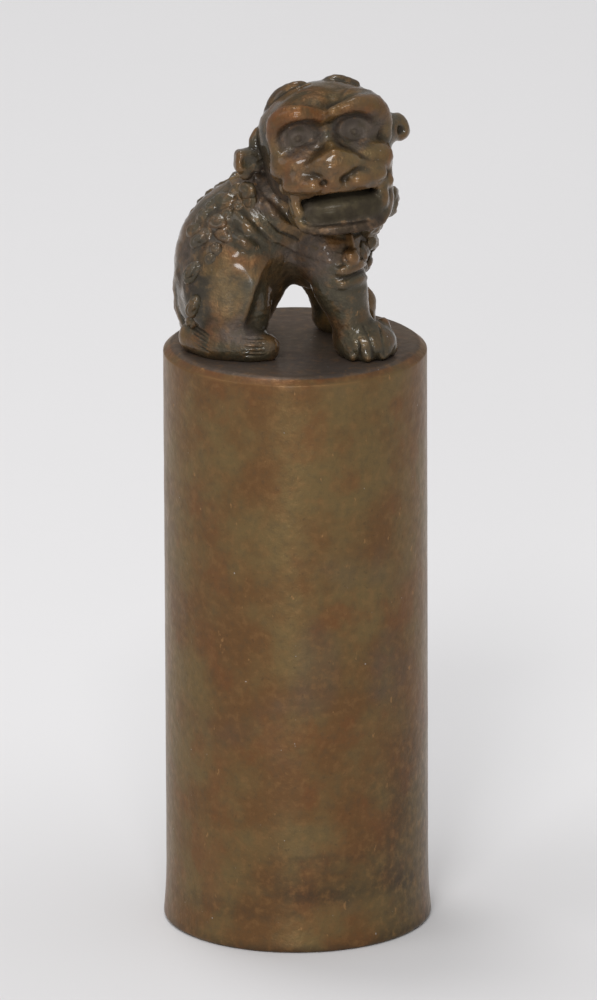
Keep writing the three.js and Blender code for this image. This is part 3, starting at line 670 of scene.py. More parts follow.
def carve_collar(clay):
    for name, side in (("right", RIGHT), ("left", LEFT)):
        for shift in (0.5, -0.5):
            edge = [(x + shift * 0.5, z + shift, proud) for x, z, proud in COLLAR]
            clay.strap(f"collar_{name}", side, edge, 0.75, 0.3)
    bell = np.array([4.85, -5.15, 9.15])
    clay.add("collar_bell", Egg(bell, (0.8, 0.8, 0.85)), 0.15)
    clay.add("collar_bell", Limb([bell + (0.1, 0.5, 0.5), bell + (-0.1, 1.0, 1.5)], [0.45, 0.35]), 0.3)
    swirl = [bell + (0.62 * math.cos(t), -0.55, 0.3 + 0.5 * math.sin(t)) for t in np.linspace(0, 4.5, 8)]
    clay.groove(swirl, 0.09)
    clay.groove([bell + (-0.7, -0.6, -0.25), bell + (0, -0.9, -0.3), bell + (0.7, -0.6, -0.25)], 0.1)


def carve_flank(clay):
    """Locks of the mane that lie on the ribs, on the neck and over the collar."""
    for side in (RIGHT, LEFT):
        for lock in ([(-5.1, 12.4), (-4.0, 11.5), (-2.8, 10.3)], [(-5.4, 10.9), (-4.3, 10.25), (-3.3, 9.6)]):
            skin = [clay.beside(side, x, z)[0] for x, z in lock]
            sunk = [point - (0, depth * side, 0) for point, depth in zip(skin, (0.6, 0.3, 0.6))]
            clay.add("trunk", Limb(sunk, [0.5, 0.75, 0.5]), 0.25)
        clay.add("chest", Egg((2.5, 4.0 * side, 9.9), (1.3, 1.0, 1.0)), 0.7)
    lock = from_head([(4.3, 2.5, -3.4), (4.5, 2.5, -5.2), (4.2, 2.4, -7.0)])
    clay.add("mane_ruff", Limb(lock, [0.5, 0.85, 0.5]), 0.2)
    for x, z in ((-3.2, 15.2), (-3.4, 13.6), (-1.8, 12.6)):
        point = clay.beside(RIGHT, x, z)[0]
        lock = [point + (-0.6, 0.4, 0.9), point + (0, 0.35, 0), point + (0.9, 0.3, -0.8)]
        clay.add("mane_ruff", Limb(lock, [0.35, 0.6, 0.3]), 0.35)


def carve_body(step):
    clay = Clay((-11.6, -9, -0.3), (10.5, 9, 18), step)
    carve_torso(clay)
    for name, side, setback in (("right", RIGHT, 0.0), ("left", LEFT, 1.8)):
        carve_hind_leg(clay, side, name, setback)
        carve_foreleg(clay, side, name, setback)
    carve_tail(clay)
    carve_collar(clay)
    carve_flank(clay)
    clay.stand_on(0.0)
    clay.shelter = [
        Egg(from_head((0, 0, 0)), (5.6, 5.2, 5.4)),
        Block((0, 0, -1), (12, 12, 1)),
    ]
    clay.tints = BODY_TINTS
    return clay


# Pieces

def settings():
    return bpy.context.scene.seal_stamp


def new_object(name, data):
    item = bpy.data.objects.new(name, data)
    bpy.context.scene.collection.objects.link(item)
    return item


def mark(mesh, marks):
    """Keeps numbers from 0 to 1 for each corner of a mesh, for its finish to read."""
    for name, values in marks.items():
        layer = mesh.attributes.new(name, "FLOAT", "POINT")
        layer.data.foreach_set("value", np.clip(values, 0, 1).astype(np.float32))


def dress(piece, node):
    piece.data.materials.clear()
    piece.data.materials.append(finish_for(node))


def hand_over(piece, node):
    """Finishes a piece, and lets it stand for a solid."""
    dress(piece, node)
    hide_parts(node)
    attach(piece, "root")


def cast(clay, place=lambda points: points, turn=np.eye(3)):
    """Makes a piece for each form of a carved block, in metres and in the stamp's frame."""
    corners, faces = clay.skin()
    facing = clay.facing(corners)
    wear = clay.wear(corners)
    wobble = settings().sizes.casting_wobble / MM
    sway = wobble * unevenness(corners, 7, 1.3) + 0.6 * wobble * unevenness(corners, 8, 0.5)
    corners = (place(corners + facing * sway[:, None]) + (0, 0, STAMP_TOP)) * MM
    corners[:, 2] = np.maximum(corners[:, 2], SHANK_HIGH[2])
    facing = facing @ turn.T
    for name, quads in faces.items():
        used, local = np.unique(quads, return_inverse=True)
        mesh = bpy.data.meshes.new(f"carved_{name}")
        mesh.from_pydata(corners[used], [], local.reshape(quads.shape))
        mesh.polygons.foreach_set("use_smooth", np.ones(len(quads), bool))
        mark(mesh, {attribute: values[used] for attribute, values in wear.items()})
        mesh.normals_split_custom_set_from_vertices(facing[used])
        hand_over(new_object(mesh.name, mesh), name)


# Node trees: each is built node by node, and sums on a node's value add Math nodes

class Graph:
    """A tree of nodes."""

    def node(self, kind, values=None, **kept):
        """Adds a node: its settings first, then the values or links of its sockets."""
        node = self.tree.nodes.new(kind)
        for setting, value in kept.items():
            setattr(node, setting, value)
        for socket, value in (values or {}).items():
            self.set(node.inputs[socket], value)
        return node

    def set(self, socket, value):
        if isinstance(value, bpy.types.Node):
            value = value.outputs[0]
        if isinstance(value, Value):
            value = value.socket
        if isinstance(value, bpy.types.NodeSocket):
            self.tree.links.new(value, socket)
        elif socket.type == "RGBA" and len(value) == 3:
            socket.default_value = (*value, 1.0)
        else:
            socket.default_value = value

    def math(self, operation, *values):
        node = self.node("ShaderNodeMath", dict(enumerate(values)), operation=operation)
        return Value(self, node.outputs[0])


class Value:
    """A number that a node gives, which takes part in sums."""

    def __init__(self, graph, socket):
        self.graph, self.socket = graph, socket

    def __add__(self, other):
        return self.graph.math("ADD", self, other)

    def __radd__(self, other):
        return self.graph.math("ADD", other, self)

    def __sub__(self, other):
        return self.graph.math("SUBTRACT", self, other)

    def __rsub__(self, other):
        return self.graph.math("SUBTRACT", other, self)

    def __mul__(self, other):
        return self.graph.math("MULTIPLY", self, other)

    def __rmul__(self, other):
        return self.graph.math("MULTIPLY", other, self)

    def over(self, low, high, kind="SMOOTHSTEP"):
        """0 at low and 1 at high, and smooth or straight between."""
        values = {"Value": self, "From Min": low, "From Max": high}
        node = self.graph.node("ShaderNodeMapRange", values, interpolation_type=kind)
        return Value(self.graph, node.outputs["Result"])


class Growth(Graph):
    """A geometry tree with named inputs."""

    def __init__(self, name, inputs):
        self.tree = bpy.data.node_groups.new(name, "GeometryNodeTree")
        self.tree.interface.new_socket("Geometry", in_out="INPUT", socket_type="NodeSocketGeometry")
        self.identifiers = {}
        for label, (kind, default) in inputs.items():
            socket = self.tree.interface.new_socket(label, in_out="INPUT", socket_type=kind)
            if default is not None:
                socket.default_value = default
            self.identifiers[label] = socket.identifier
        self.tree.interface.new_socket("Geometry", in_out="OUTPUT", socket_type="NodeSocketGeometry")
        self.input = self.tree.nodes.new("NodeGroupInput").outputs

    def named(self, name, kind="FLOAT"):
        return self.node("GeometryNodeInputNamedAttribute", {"Name": name}, data_type=kind)

    def vector(self, x, y, z):
        return self.node("ShaderNodeCombineXYZ", {0: x, 1: y, 2: z})

    def uneven(self, geometry, size, detail, depth):
        """Moves each corner in or out along its normal by noise."""
        place = self.node("GeometryNodeInputPosition")
        noise = self.node("ShaderNodeTexNoise", {"Vector": place, "Scale": size, "Detail": detail})
        way = self.node("GeometryNodeInputNormal")
        shift = (Value(self, noise.outputs[0]) - 0.5) * depth
        offset = self.node("ShaderNodeVectorMath", {0: way, 3: shift}, operation="SCALE")
        return self.node("GeometryNodeSetPosition", {"Geometry": geometry, "Offset": offset})

    def finish(self, geometry):
        """Ends the tree in smooth, real geometry with its finish set."""
        smooth = self.node("GeometryNodeSetShadeSmooth", {"Geometry": geometry})
        real = self.node("GeometryNodeRealizeInstances", {"Geometry": smooth})
        finish = self.node("GeometryNodeSetMaterial", {"Geometry": real, "Material": self.input["Finish"]})
        output = self.tree.nodes.new("NodeGroupOutput")
        self.tree.links.new(finish.outputs[0], output.inputs[0])


def grown(name, base, growth, values):
    """The plain mesh that a geometry tree makes from a base mesh."""
    source = new_object(f"{name}_base", base)
    modifier = source.modifiers.new("Growth", "NODES")
    modifier.node_group = growth.tree
    for label, value in values.items():
        modifier[growth.identifiers[label]] = value
    bpy.context.view_layer.update()
    graph = bpy.context.evaluated_depsgraph_get()
    mesh = bpy.data.meshes.new_from_object(
        source.evaluated_get(graph), preserve_all_data_layers=True, depsgraph=graph)
    bpy.data.objects.remove(source)
    if len(mesh.polygons) == 0:
        raise RuntimeError(f"The tree of {name} made nothing")
    mesh.name = name
    return new_object(name, mesh)


def lathe_tree():
    """Turns a profile, drawn in x and y from the axis, about the z axis."""
    tree = Growth("Lathe", {
        "Sides": ("NodeSocketInt", 64),
        "Wear depth": ("NodeSocketFloat", 0.0),
        "Wear size": ("NodeSocketFloat", 1.0),
        "Finish": ("NodeSocketMaterial", None),
    })
    profile = tree.node("GeometryNodeMeshToCurve", {"Mesh": tree.input["Geometry"]})
    axis = tree.node("GeometryNodeCurvePrimitiveCircle", {"Resolution": tree.input["Sides"], "Radius": MM})
    swept = tree.node("GeometryNodeCurveToMesh", {"Curve": axis, "Profile Curve": profile})
    merged = tree.node("GeometryNodeMergeByDistance", {"Geometry": swept, "Distance": 0.004 * MM})
    tree.finish(tree.uneven(merged, tree.input["Wear size"], 3.0, tree.input["Wear depth"]))
    return tree


def curl_tree():
    """Sets a snail curl on each point, facing as the point does: a dome with a spiral that fades outwards."""
    tree = Growth("Curls", {
        "Turns": ("NodeSocketFloat", 1.6),
        "Depth": ("NodeSocketFloat", 0.1),
        "Height": ("NodeSocketFloat", 0.5),
        "Lump size": ("NodeSocketFloat", 1.0),
        "Lump depth": ("NodeSocketFloat", 0.0),
        "Finish": ("NodeSocketMaterial", None),
    })
    underside, edge = 0.3, 0.6
    dome = tree.node("GeometryNodeMeshUVSphere", {"Segments": 36, "Rings": 24, "Radius": 1.0})
    place = tree.node("ShaderNodeSeparateXYZ", {0: tree.node("GeometryNodeInputPosition")})
    x, y, z = (Value(tree, place.outputs[axis]) for axis in "XYZ")
    reach = tree.math("SQRT", x * x + y * y)
    wave = tree.math("COSINE", tree.math("ARCTAN2", y, x) - reach * (2 * math.pi) * tree.input["Turns"])
    fade = reach.over(1.0, edge, "LINEAR") * tree.input["Depth"]
    height = z * tree.input["Height"] + wave * reach.over(0.0, 0.25, "LINEAR") * fade
    above = tree.math("GREATER_THAN", z, 0.0)
    height = above * height + (1.0 - above) * (z * underside)
    curl = tree.node("GeometryNodeSetPosition", {"Geometry": dome, "Position": tree.vector(x, y, height)})
    marks = {
        "worn": wave.over(0.2, 2.2, "LINEAR"), "hollow": (wave * -1.0).over(0.2, 2.2, "LINEAR"),
        "moss": 0.5, "film": 0.15,
    }
    for name, share in marks.items():
        values = {"Geometry": curl, "Name": name, "Value": share}
        curl = tree.node("GeometryNodeStoreNamedAttribute", values, data_type="FLOAT", domain="POINT")
    facing = tree.named("facing", "FLOAT_VECTOR")
    turn = tree.node("FunctionNodeAlignRotationToVector", {"Vector": facing}, axis="Z")
    spin = tree.vector(0.0, 0.0, tree.named("spin"))
    values = {"Rotation": turn, "Rotate By": spin}
    turn = tree.node("FunctionNodeRotateRotation", values, rotation_space="LOCAL")
    curls = tree.node("GeometryNodeInstanceOnPoints", {
        "Points": tree.input["Geometry"], "Instance": curl, "Rotation": turn,
        "Scale": tree.named("size", "FLOAT_VECTOR"),
    })
    real = tree.node("GeometryNodeRealizeInstances", {"Geometry": curls})
    tree.finish(tree.uneven(real, tree.input["Lump size"], 2.0, tree.input["Lump depth"]))
    return tree


# Finishes

class Finish(Graph):
    """A material."""

    def __init__(self, name):
        self.material = bpy.data.materials.new(name)
        self.material.use_nodes = True
        self.tree = self.material.node_tree
        self.tree.nodes.clear()

    def noise(self, scale, detail=4.0, stretch=(1, 1, 1), turn=(0, 0, 0)):
        """Noise with so many waves in a metre, narrowed by stretch."""
        place = self.node("ShaderNodeTexCoord").outputs["Object"]
        place = self.node("ShaderNodeMapping", {"Vector": place, "Scale": stretch, "Rotation": turn})
        values = {"Vector": place, "Scale": scale, "Detail": detail, "Roughness": 0.55}
        return Value(self, self.node("ShaderNodeTexNoise", values).outputs[0])

    def attribute(self, name):
        return Value(self, self.node("ShaderNodeAttribute", attribute_name=name).outputs["Fac"])

    def mix(self, share, first, second):
        return self.node("ShaderNodeMix", {0: share, 6: first, 7: second}, data_type="RGBA").outputs[2]

    def bump(self, height, distance, under=None):
        values = {"Height": height, "Distance": distance, "Strength": 1.0}
        if under is not None:
            values["Normal"] = under
        return self.node("ShaderNodeBump", values)

    def end(self, shader):
        output = self.node("ShaderNodeOutputMaterial")
        self.tree.links.new(shader.outputs[0], output.inputs[0])
        return self.material


def bronze(name, ash=0.3, ember=0.35, olive=0.3, shelter=0.0, dirt=0.8, rub=0.4, grain=1.0, fleck=0.5,
           shade=1.0, metal=0.72, coat=0.3, gloss=0.2, rough=0.38):
    """Old bronze: a mottled brown skin, dirt in the hollows, and bare metal where hands rub it."""
    tones = settings().colours
    finish = Finish(name)
    brown, umber = ([part * shade for part in tone] for tone in (tones.brown, tones.umber))
    bright = [part * 1.5 for part in tones.worn]
    clouds = finish.noise(160, 5)
    veils = finish.noise(95, 4)
    blushes = finish.noise(210, 5)
    drifts = finish.noise(420, 6, (1, 1, 0.45))
    swells = finish.noise(700, 4)
    grains = finish.noise(1300, 5)
    scratches = finish.noise(1500, 3, (1, 0.7, 0.45), (0.6, 0.9, 0.3))
    pits = finish.noise(2300, 3)
    dust = finish.noise(2400, 1)
    hollow, worn, thin, moss, film, dull, stain = (
        finish.attribute(mark) for mark in ("hollow", "worn", "ember", "moss", "film", "dull", "stain"))

    skin = finish.mix(clouds.over(0.36, 0.64), umber, brown)
    reddish = blushes.over(0.5, 0.64) * ember + thin * 0.65
    skin = finish.mix(reddish * drifts.over(0.3, 0.6), skin, tones.ember)
    sheltered = shelter + hollow * shelter * 1.4 - worn * 1.5 * shelter
    cool = (drifts.over(0.48, 0.7) * olive + sheltered + moss * 0.6).over(0.05, 1.0)
    skin = finish.mix(cool, skin, tones.olive)
    skin = finish.mix((veils.over(0.52, 0.7) * ash + film * 0.8).over(0.0, 1.1), skin, tones.ash)
    skin = finish.mix(grains.over(0.5, 0.7) * fleck, skin, tones.olive)
    skin = finish.mix(grains.over(0.5, 0.3) * min(0.3, rub * 1.5), skin, tones.worn)
    skin = finish.mix(pits.over(0.63, 0.75) * 0.25, skin, tones.hollow)
    # Bare bronze where the worn mark is high; along the shank's top rim this is also a painted highlight
    bare = (worn * 1.1 + grains * 1.3 - 0.85).over(0.15, 0.95) * rub
    skin = finish.mix(bare, skin, tones.worn)
    skin = finish.mix(scratches.over(0.69, 0.75) * 0.5, skin, bright)
    deep = (hollow * 1.2 + clouds * 0.5 - 0.55).over(0.1, 0.9) * dirt
    skin = finish.mix(deep, skin, tones.hollow)
    skin = finish.mix(stain * grains.over(0.25, 0.6), skin, tones.hollow)
    skin = finish.mix(dust.over(0.79, 0.84) * 0.4, skin, tones.floor)

    uneven = rough + (deep + film * 0.4) * 0.25 + (drifts - 0.5) * 0.3 + (grains - 0.5) * 0.25
    swell = finish.bump(swells, 0.12 * MM * grain)
    scored = finish.noise(3000, 3) - scratches.over(0.66, 0.76) * 0.6
    return finish.end(finish.node("ShaderNodeBsdfPrincipled", {
        "Base Color": skin, "Metallic": metal, "Roughness": uneven,
        "Normal": finish.bump(scored, 0.025 * MM * grain, swell),
        "Specular IOR Level": 0.25, "Specular Tint": (*tones.tint, 1.0),
        "Coat Weight": coat - (deep + film + thin * 0.5 + dull) * (coat * 0.75),
        "Coat Roughness": gloss, "Coat IOR": 1.35,
    }))


def plain(name, near, far, roughness):
    """A plain sheet that grows paler behind the stamp; on the floor its darker near part is painted shade in
    front of the stamp and round its base.
    """
    finish = Finish(name)
    place = finish.node("ShaderNodeTexCoord").outputs["Object"]
    depth = Value(finish, finish.node("ShaderNodeSeparateXYZ", {0: place}).outputs["Y"])
    # Painted shade: the near colour in front of the stamp, the paler far colour behind it
    tone = finish.mix(depth.over(-0.01, 0.06), near, far)
    tone = finish.mix(finish.noise(60, 3).over(0.2, 0.8) * 0.05, tone, [part * 0.94 for part in far])
    return finish.end(finish.node("ShaderNodeBsdfPrincipled", {
        "Base Color": tone, "Roughness": roughness, "Specular IOR Level": 0.1,
    }))


LACQUERED = dict(metal=0.5, coat=0.9, gloss=0.09, rough=0.42)
FINISHES = {
    "shank_bronze": dict(
        ember=0.4, olive=0.15, grain=0.7, fleck=0.25, shade=0.88, metal=0.4, coat=0.32, gloss=0.22),
    "face_bronze": dict(olive=0.6, rub=0.8, shade=0.85),
    "lion_bronze": dict(olive=0.6, shelter=0.3, rub=0.2, grain=2.4, shade=0.76, **LACQUERED),
    "worn_bronze": dict(ash=0.2, olive=0.35, shelter=0.2, rub=0.25, grain=2.2, shade=0.86, **LACQUERED),
    "recess_bronze": dict(
        ash=0.6, ember=0.0, olive=1.0, shelter=0.4, dirt=0.6, rub=0.0, shade=0.62, metal=0.3, coat=0.2,
        gloss=0.16, rough=0.5),
}
# The slot of each solid's finish; the rest of the lion is lion_bronze
SLOT_OF = {"shank": "shank_bronze", "seal_face": "face_bronze"}
SLOT_OF.update(dict.fromkeys(("tongue", "eye_right", "eye_left"), "recess_bronze"))
SLOT_OF.update(dict.fromkeys((
    "muzzle", "nose", "collar_bell", "collar_right", "collar_left", "hind_leg_right", "hind_leg_left",
), "worn_bronze"))


def finish_for(node):
    """The finish of a piece, made when it is first asked for."""
    slot = SLOT_OF.get(node, "lion_bronze")
    name = f"aged_{slot}"
    if name not in bpy.data.materials:
        bronze(name, **FINISHES[slot])
    return bpy.data.materials[name]


def points_mesh(name, points, **attributes):
    """Points, with vectors or numbers that a tree reads."""
    mesh = bpy.data.meshes.new(name)
    mesh.from_pydata([tuple(point) for point in points], [], [])
    for label, values in attributes.items():
        values = np.array(values, np.float32)
        kind, field = ("FLOAT_VECTOR", "vector") if values.ndim == 2 else ("FLOAT", "value")
        mesh.attributes.new(label, kind, "POINT").data.foreach_set(field, values.ravel())
    return mesh


# One operator for each piece or group of like pieces

class StampOperator(bpy.types.Operator):
    bl_options = {"REGISTER", "UNDO"}


# The worn edge at the top, in from the side and down from the top, as shares of its size
RIM = ((0, 0.8), (0.01, 0.72), (0.04, 0.67), (0.1, 0.62), (0.3, 0.46), (0.52, 0.29), (0.75, 0.14), (1, 0.03),
       (1.15, 0))


class SEALSTAMP_OT_shank(StampOperator):
    """Turn the shank from its profile"""

    bl_idname = "sealstamp.shank"
    bl_label = "Shank"

    def execute(self, context):
        sizes = settings().sizes
        foot = SHANK_HIGH[0]
        radius = foot - sizes.foot_flare
        seat = radius - sizes.rim_width
        top = SHANK_HIGH[2]
        foot_step, side_step, top_step = 0.3 * MM, 0.4 * MM, 0.5 * MM
        profile = [(seat * share, sizes.recess_depth) for share in (0, 0.5, 1)]
        profile += [(seat, sizes.recess_depth * share) for share in (0.66, 0.33, 0.03)]
        profile += [(seat + 0.1 * MM, 0.0), (foot - sizes.foot_bevel, 0.0)]
        profile += [(foot - sizes.foot_bevel * (1 - math.sin(t)), sizes.foot_bevel * (1 - math.cos(t)))
                    for t in np.radians([20, 40, 60, 80, 90])]
        for height in np.arange(sizes.foot_bevel + foot_step, sizes.foot_height, foot_step):
            share = (sizes.foot_height - height) / (sizes.foot_height - sizes.foot_bevel)
            profile.append((radius + sizes.foot_flare * share**2, height))
        side = np.arange(sizes.foot_height, top - 0.95 * sizes.rim_bevel, side_step)
        profile += [(radius, height) for height in side]
        profile += [(radius - sizes.rim_bevel * inset, top - sizes.rim_bevel * drop) for inset, drop in RIM]
        inwards = np.arange(radius - sizes.rim_bevel - top_step, 0, -top_step)
        profile += [(reach, top) for reach in [*inwards, 0]]
        base = bpy.data.meshes.new("shank_profile")
        corners = [(reach - MM, -height, 0) for reach, height in profile]
        base.from_pydata(corners, [(i, i + 1) for i in range(len(corners) - 1)], [])
        shank = grown("turned_shank", base, lathe_tree(), {
            "Sides": 288,
            "Wear depth": 2 * sizes.wear_depth,
            "Wear size": 260.0,
            "Finish": finish_for("shank"),
        })
        keep_closed(shank.data)
        mark_shank(shank.data, radius, top, sizes)
        hand_over(shank, "shank")
        return {"FINISHED"}


def keep_closed(mesh):
    """Merges the seam and the poles, turns faces outwards and keeps the shank inside its solid's box."""
    work = bmesh.new()
    work.from_mesh(mesh)
    bmesh.ops.remove_doubles(work, verts=work.verts, dist=0.003 * MM)
    bmesh.ops.recalc_face_normals(work, faces=work.faces)
    for vertex in work.verts:
        vertex.co.z = min(max(vertex.co.z, 0.0), SHANK_HIGH[2])
    work.to_mesh(mesh)
    work.free()


# Stains on the shank's side: degrees round from the front, height in millimetres, half width in degrees, half
# height in millimetres, strength
STAINS = ((12, 6.3, 30, 1.3, 0.3), (25, 5.0, 40, 0.7, 0.3), (68, 8.0, 28, 9.0, 0.4), (10, 8.4, 24, 0.5, 0.3),
          (-30, 3.6, 30, 0.8, 0.25), (0, 0, 200, 0.7, 0.4), (150, 20, 40, 12, 0.3))
# Patches of thin purple grey film, given in the same way
FILMS = ((9, 26.0, 10, 4.2, 0.45), (46, 24.5, 13, 3.6, 0.45), (-4, 14.0, 9, 12.0, 0.2),
         (-110, 36, 30, 9, 0.3), (200, 12, 30, 7, 0.4))


def mark_shank(mesh, radius, top, sizes):
    """Marks the rims as worn, with a painted highlight along the top one, the top as filmed, the rounded edge
    as reddish, and the stains as dirty.
    """
    places = np.empty(len(mesh.vertices) * 3, np.float32)
    mesh.vertices.foreach_get("co", places)
    places = places.reshape(-1, 3)
    reach, height = np.hypot(places[:, 0], places[:, 1]), places[:, 2]
    turn = np.degrees(np.arctan2(places[:, 0], -places[:, 1]))
    outside = reach > radius - 0.8 * MM
    ragged = unevenness(places / MM, 11, 2.5)

    def patches(rows):
        total = 0
        for middle, level, wide, high, strength in rows:
            aside = (turn - middle + 180) % 360 - 180
            spread = np.hypot(aside / wide, (height / MM - level) / high) + 0.15 * ragged
            inside = np.clip(1.6 - spread, 0, 1)
            total = total + strength * inside**2 * (3 - 2 * inside)
        return total * outside

    # The line where the rounded top edge meets the side is real wear and also a painted highlight along the
    # edge
    line = top - 0.7 * sizes.rim_bevel
    rim = np.exp(-((np.hypot(reach - radius, height - line) / (0.15 * MM)) ** 2))
    bevel = np.clip((height - line) / (0.3 * MM), 0, 1) * (reach > radius - sizes.rim_bevel)
    foot = np.exp(-((np.hypot(reach - SHANK_HIGH[0], height) / (0.8 * MM)) ** 2))
    on_top = (height > top - 0.2 * MM) * np.clip((radius - reach) / (0.5 * MM), 0, 1)
    mark(mesh, {
        # worn: on the top rim partly a painted highlight, on the foot's edge real wear
        "worn": np.maximum(rim * (0.6 + 0.7 * ragged), 0.5 * foot),
        "hollow": 0.25 * bevel,
        "stain": 0.15 * bevel + patches(STAINS),
        "film": on_top + patches(FILMS),
        "ember": 0.8 * bevel,
    })


class SEALSTAMP_OT_seal_face(StampOperator):
    """Finish the printing face, which keeps its solid's shape"""

    bl_idname = "sealstamp.seal_face"
    bl_label = "Printing face"

    def execute(self, context):
        dress(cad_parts["seal_face"], "seal_face")
        return {"FINISHED"}


class SEALSTAMP_OT_head(StampOperator):
    """Carve the head: skull, brows, eyes, nose, muzzle, jaw, tongue, ears and crest"""

    bl_idname = "sealstamp.head"
    bl_label = "Head"

    def execute(self, context):
        step = settings().sizes.head_step / MM * 1
        cast(carve_head(step), from_head, HEAD_TURN)
        return {"FINISHED"}


class SEALSTAMP_OT_body(StampOperator):
    """Carve the body, and set its curls on it"""

    bl_idname = "sealstamp.body"
    bl_label = "Body and curls"

    def execute(self, context):
        sizes = settings().sizes
        step = sizes.body_step / MM * 1
        clay = carve_body(step)
        tree = curl_tree()
        curls = {
            "nape_curls": nape_curls(sizes),
            "back_curls_right": back_curls(clay, RIGHT, sizes),
            "back_curls_left": back_curls(clay, LEFT, sizes),
            "chest_curls": chest_curls(clay, sizes),
        }
        for name, rows in curls.items():
            points, facing, radii, spin = zip(*rows)
            clay.shelter += [Egg(point, 0.9 * width) for point, (width, _, _) in zip(points, radii)]
            places = [(np.array(point) + (0, 0, STAMP_TOP)) * MM for point in points]
            base = points_mesh(name, places, facing=facing, size=np.array(radii) * MM, spin=spin)
            piece = grown(f"set_{name}", base, tree, {
                "Turns": 1.4, "Depth": 0.06, "Height": 0.7, "Finish": finish_for(name),
                "Lump size": 900.0, "Lump depth": 0.5 * MM,
            })
            hand_over(piece, name)
        cast(clay)
        return {"FINISHED"}


def nape_curls(sizes):
    """Curls in a fan behind the head, from one ear to the other: place, facing, radii and spin of each."""
    radius = sizes.nape_curl_size / MM
    half_width, depth, middle, level = 4.3, 4.0, 0.9, -2.3
    rows = []
    for number, angle in enumerate(np.radians(np.linspace(30, 150, 6))):
        point = from_head((half_width * math.cos(angle), middle + depth * math.sin(angle), level))
        facing = HEAD_TURN @ (math.cos(angle), math.sin(angle), -0.1)
        rows.append((point, facing, (radius, radius, radius * 1.1), 1.3 * number))
    return rows


def back_curls(clay, side, sizes):
    """Beads over the shoulders, then longer curls down the back, each given as x, z and size."""
    bead, sunk = sizes.bead_size / MM, 0.25
    rows = []
    beads = [(-4.2, 14.5, 1.0), (-5.2, 14.3, 0.8), (-6.1, 13.6, 1.05), (-7.3, 12.9, 0.95), (-8.1, 12.0, 0.9),
             (-8.8, 10.9, 0.85), (-4.9, 13.2, 0.75), (-5.8, 12.5, 0.8), (-6.8, 11.9, 0.9), (-7.7, 10.8, 1.0),
             (-4.0, 13.6, 0.8), (-6.2, 11.0, 0.85), (-6.9, 9.9, 0.75), (-7.4, 9.0, 0.6)]
    for number, (x, z, size) in enumerate(beads):
        point, facing = clay.beside(side, x, z)
        spread = bead * size * 1.2
        radii = (spread, spread * (1 + 0.2 * (number % 3)), bead * 0.95)
        rows.append((point - sunk * facing, facing, radii, 2.1 * number))
    drops = [(-8.15, 10.3, 1.8), (-8.95, 7.5, 2.0), (-8.8, 4.6, 1.8), (-8.9, 2.9, 1.0)]
    for number, (x, z, long) in enumerate(drops):
        point, facing = clay.beside(side, x, z)
        radii = (bead * 0.95, bead * long * 0.85, bead * 1.5)
        rows.append((point - sunk * facing, facing, radii, 1.57 + 0.2 * number))
    return rows


def chest_curls(clay, sizes):
    """Locks of the mane down the chest, row under row and each row set over by half a lock."""
    curl = sizes.chest_curl_size / MM
    first, spacing, shift, highest, lowest, ahead = -2.9, 1.75, 0.85, 12.8, 7.2, 11
    rows = []
    for number, level in enumerate(np.linspace(highest, lowest, 4)):
        for place in range(4):
            y = first + spacing * place + shift * (number % 2) + 0.2 * math.sin(5 * place + number)
            z = level + 0.3 * math.sin(2 * place + 3 * number)
            point, facing = clay.touch((ahead, y, z), (-1, 0, 0))
            size = curl * (1.05 - 0.08 * number + 0.15 * math.sin(3 * y + number))
            rows.append((point, facing, (size, size, size * 0.75), 1.1 * number + y))
    return rows


# Lamps: place and width in metres, power in watts
LAMPS = {
    "key": ((-0.12, -0.62, 0.62), 0.2, 1.9),
    "spark": ((-0.1, -0.8, 0.33), 0.08, 0.45),
    "glint": ((0.04, -0.62, 0.62), 0.1, 0.7),
    "window": ((-0.6, -0.25, 0.6), 0.4, 0.65),
    "top": ((-0.1, 0.16, 0.8), 0.2, 1.5),
    "front": ((-0.085, -0.9, 0.05), 0.11, 0.95),
}
LAMP_TARGET = Vector((0, 0, 0.045))
WORLD_STRENGTH = 0.6

# Floor and backdrop, in metres
STAGE_DEPTH, STAGE_BEND, STAGE_HEIGHT, STAGE_HALF_WIDTH = 3.6, 0.4, 2.4, 4.0

# Camera: metres and degrees, and what it looks at
CAMERA_DISTANCE, CAMERA_TILT, CAMERA_ROLL = 1.5, 17.2, -0.25
CAMERA_TARGET = Vector((0.24 * MM, 0, 37.85 * MM))
SENSOR_SIZE, PICTURE_HEIGHT, PIXELS_PER_MM = 36, 1000, 11.45


class SEALSTAMP_OT_stage(StampOperator):
    """Set the floor, the backdrop, the lamps and the camera"""

    bl_idname = "sealstamp.stage"
    bl_label = "Stage"

    def execute(self, context):
        tones = settings().colours
        scene = context.scene
        # The floor's near colour is painted shade in front of the stamp and round its base
        near, far = tones.floor, tones.backdrop
        floor = sweep("floor", [(STAGE_DEPTH, 0), (-STAGE_DEPTH, 0)], plain("floor", near, far, 0.85))
        curve = [(-STAGE_DEPTH - STAGE_BEND * math.sin(t), STAGE_BEND - STAGE_BEND * math.cos(t))
                 for t in np.radians(range(0, 91, 10))]
        curve.append((-STAGE_DEPTH - STAGE_BEND, STAGE_HEIGHT))
        backdrop = sweep("backdrop", curve, plain("backdrop", far, far, 0.9))
        for name, (place, width, power) in LAMPS.items():
            light(name, place, width, power)
        world = bpy.data.worlds.new("studio")
        world.use_nodes = True
        background = world.node_tree.nodes["Background"]
        background.inputs["Color"].default_value = (1, 1, 1, 1)
        background.inputs["Strength"].default_value = WORLD_STRENGTH
        scene.world = world
        scene.view_settings.view_transform = "Standard"
        scene.camera = photo_camera()
        return {"FINISHED"}


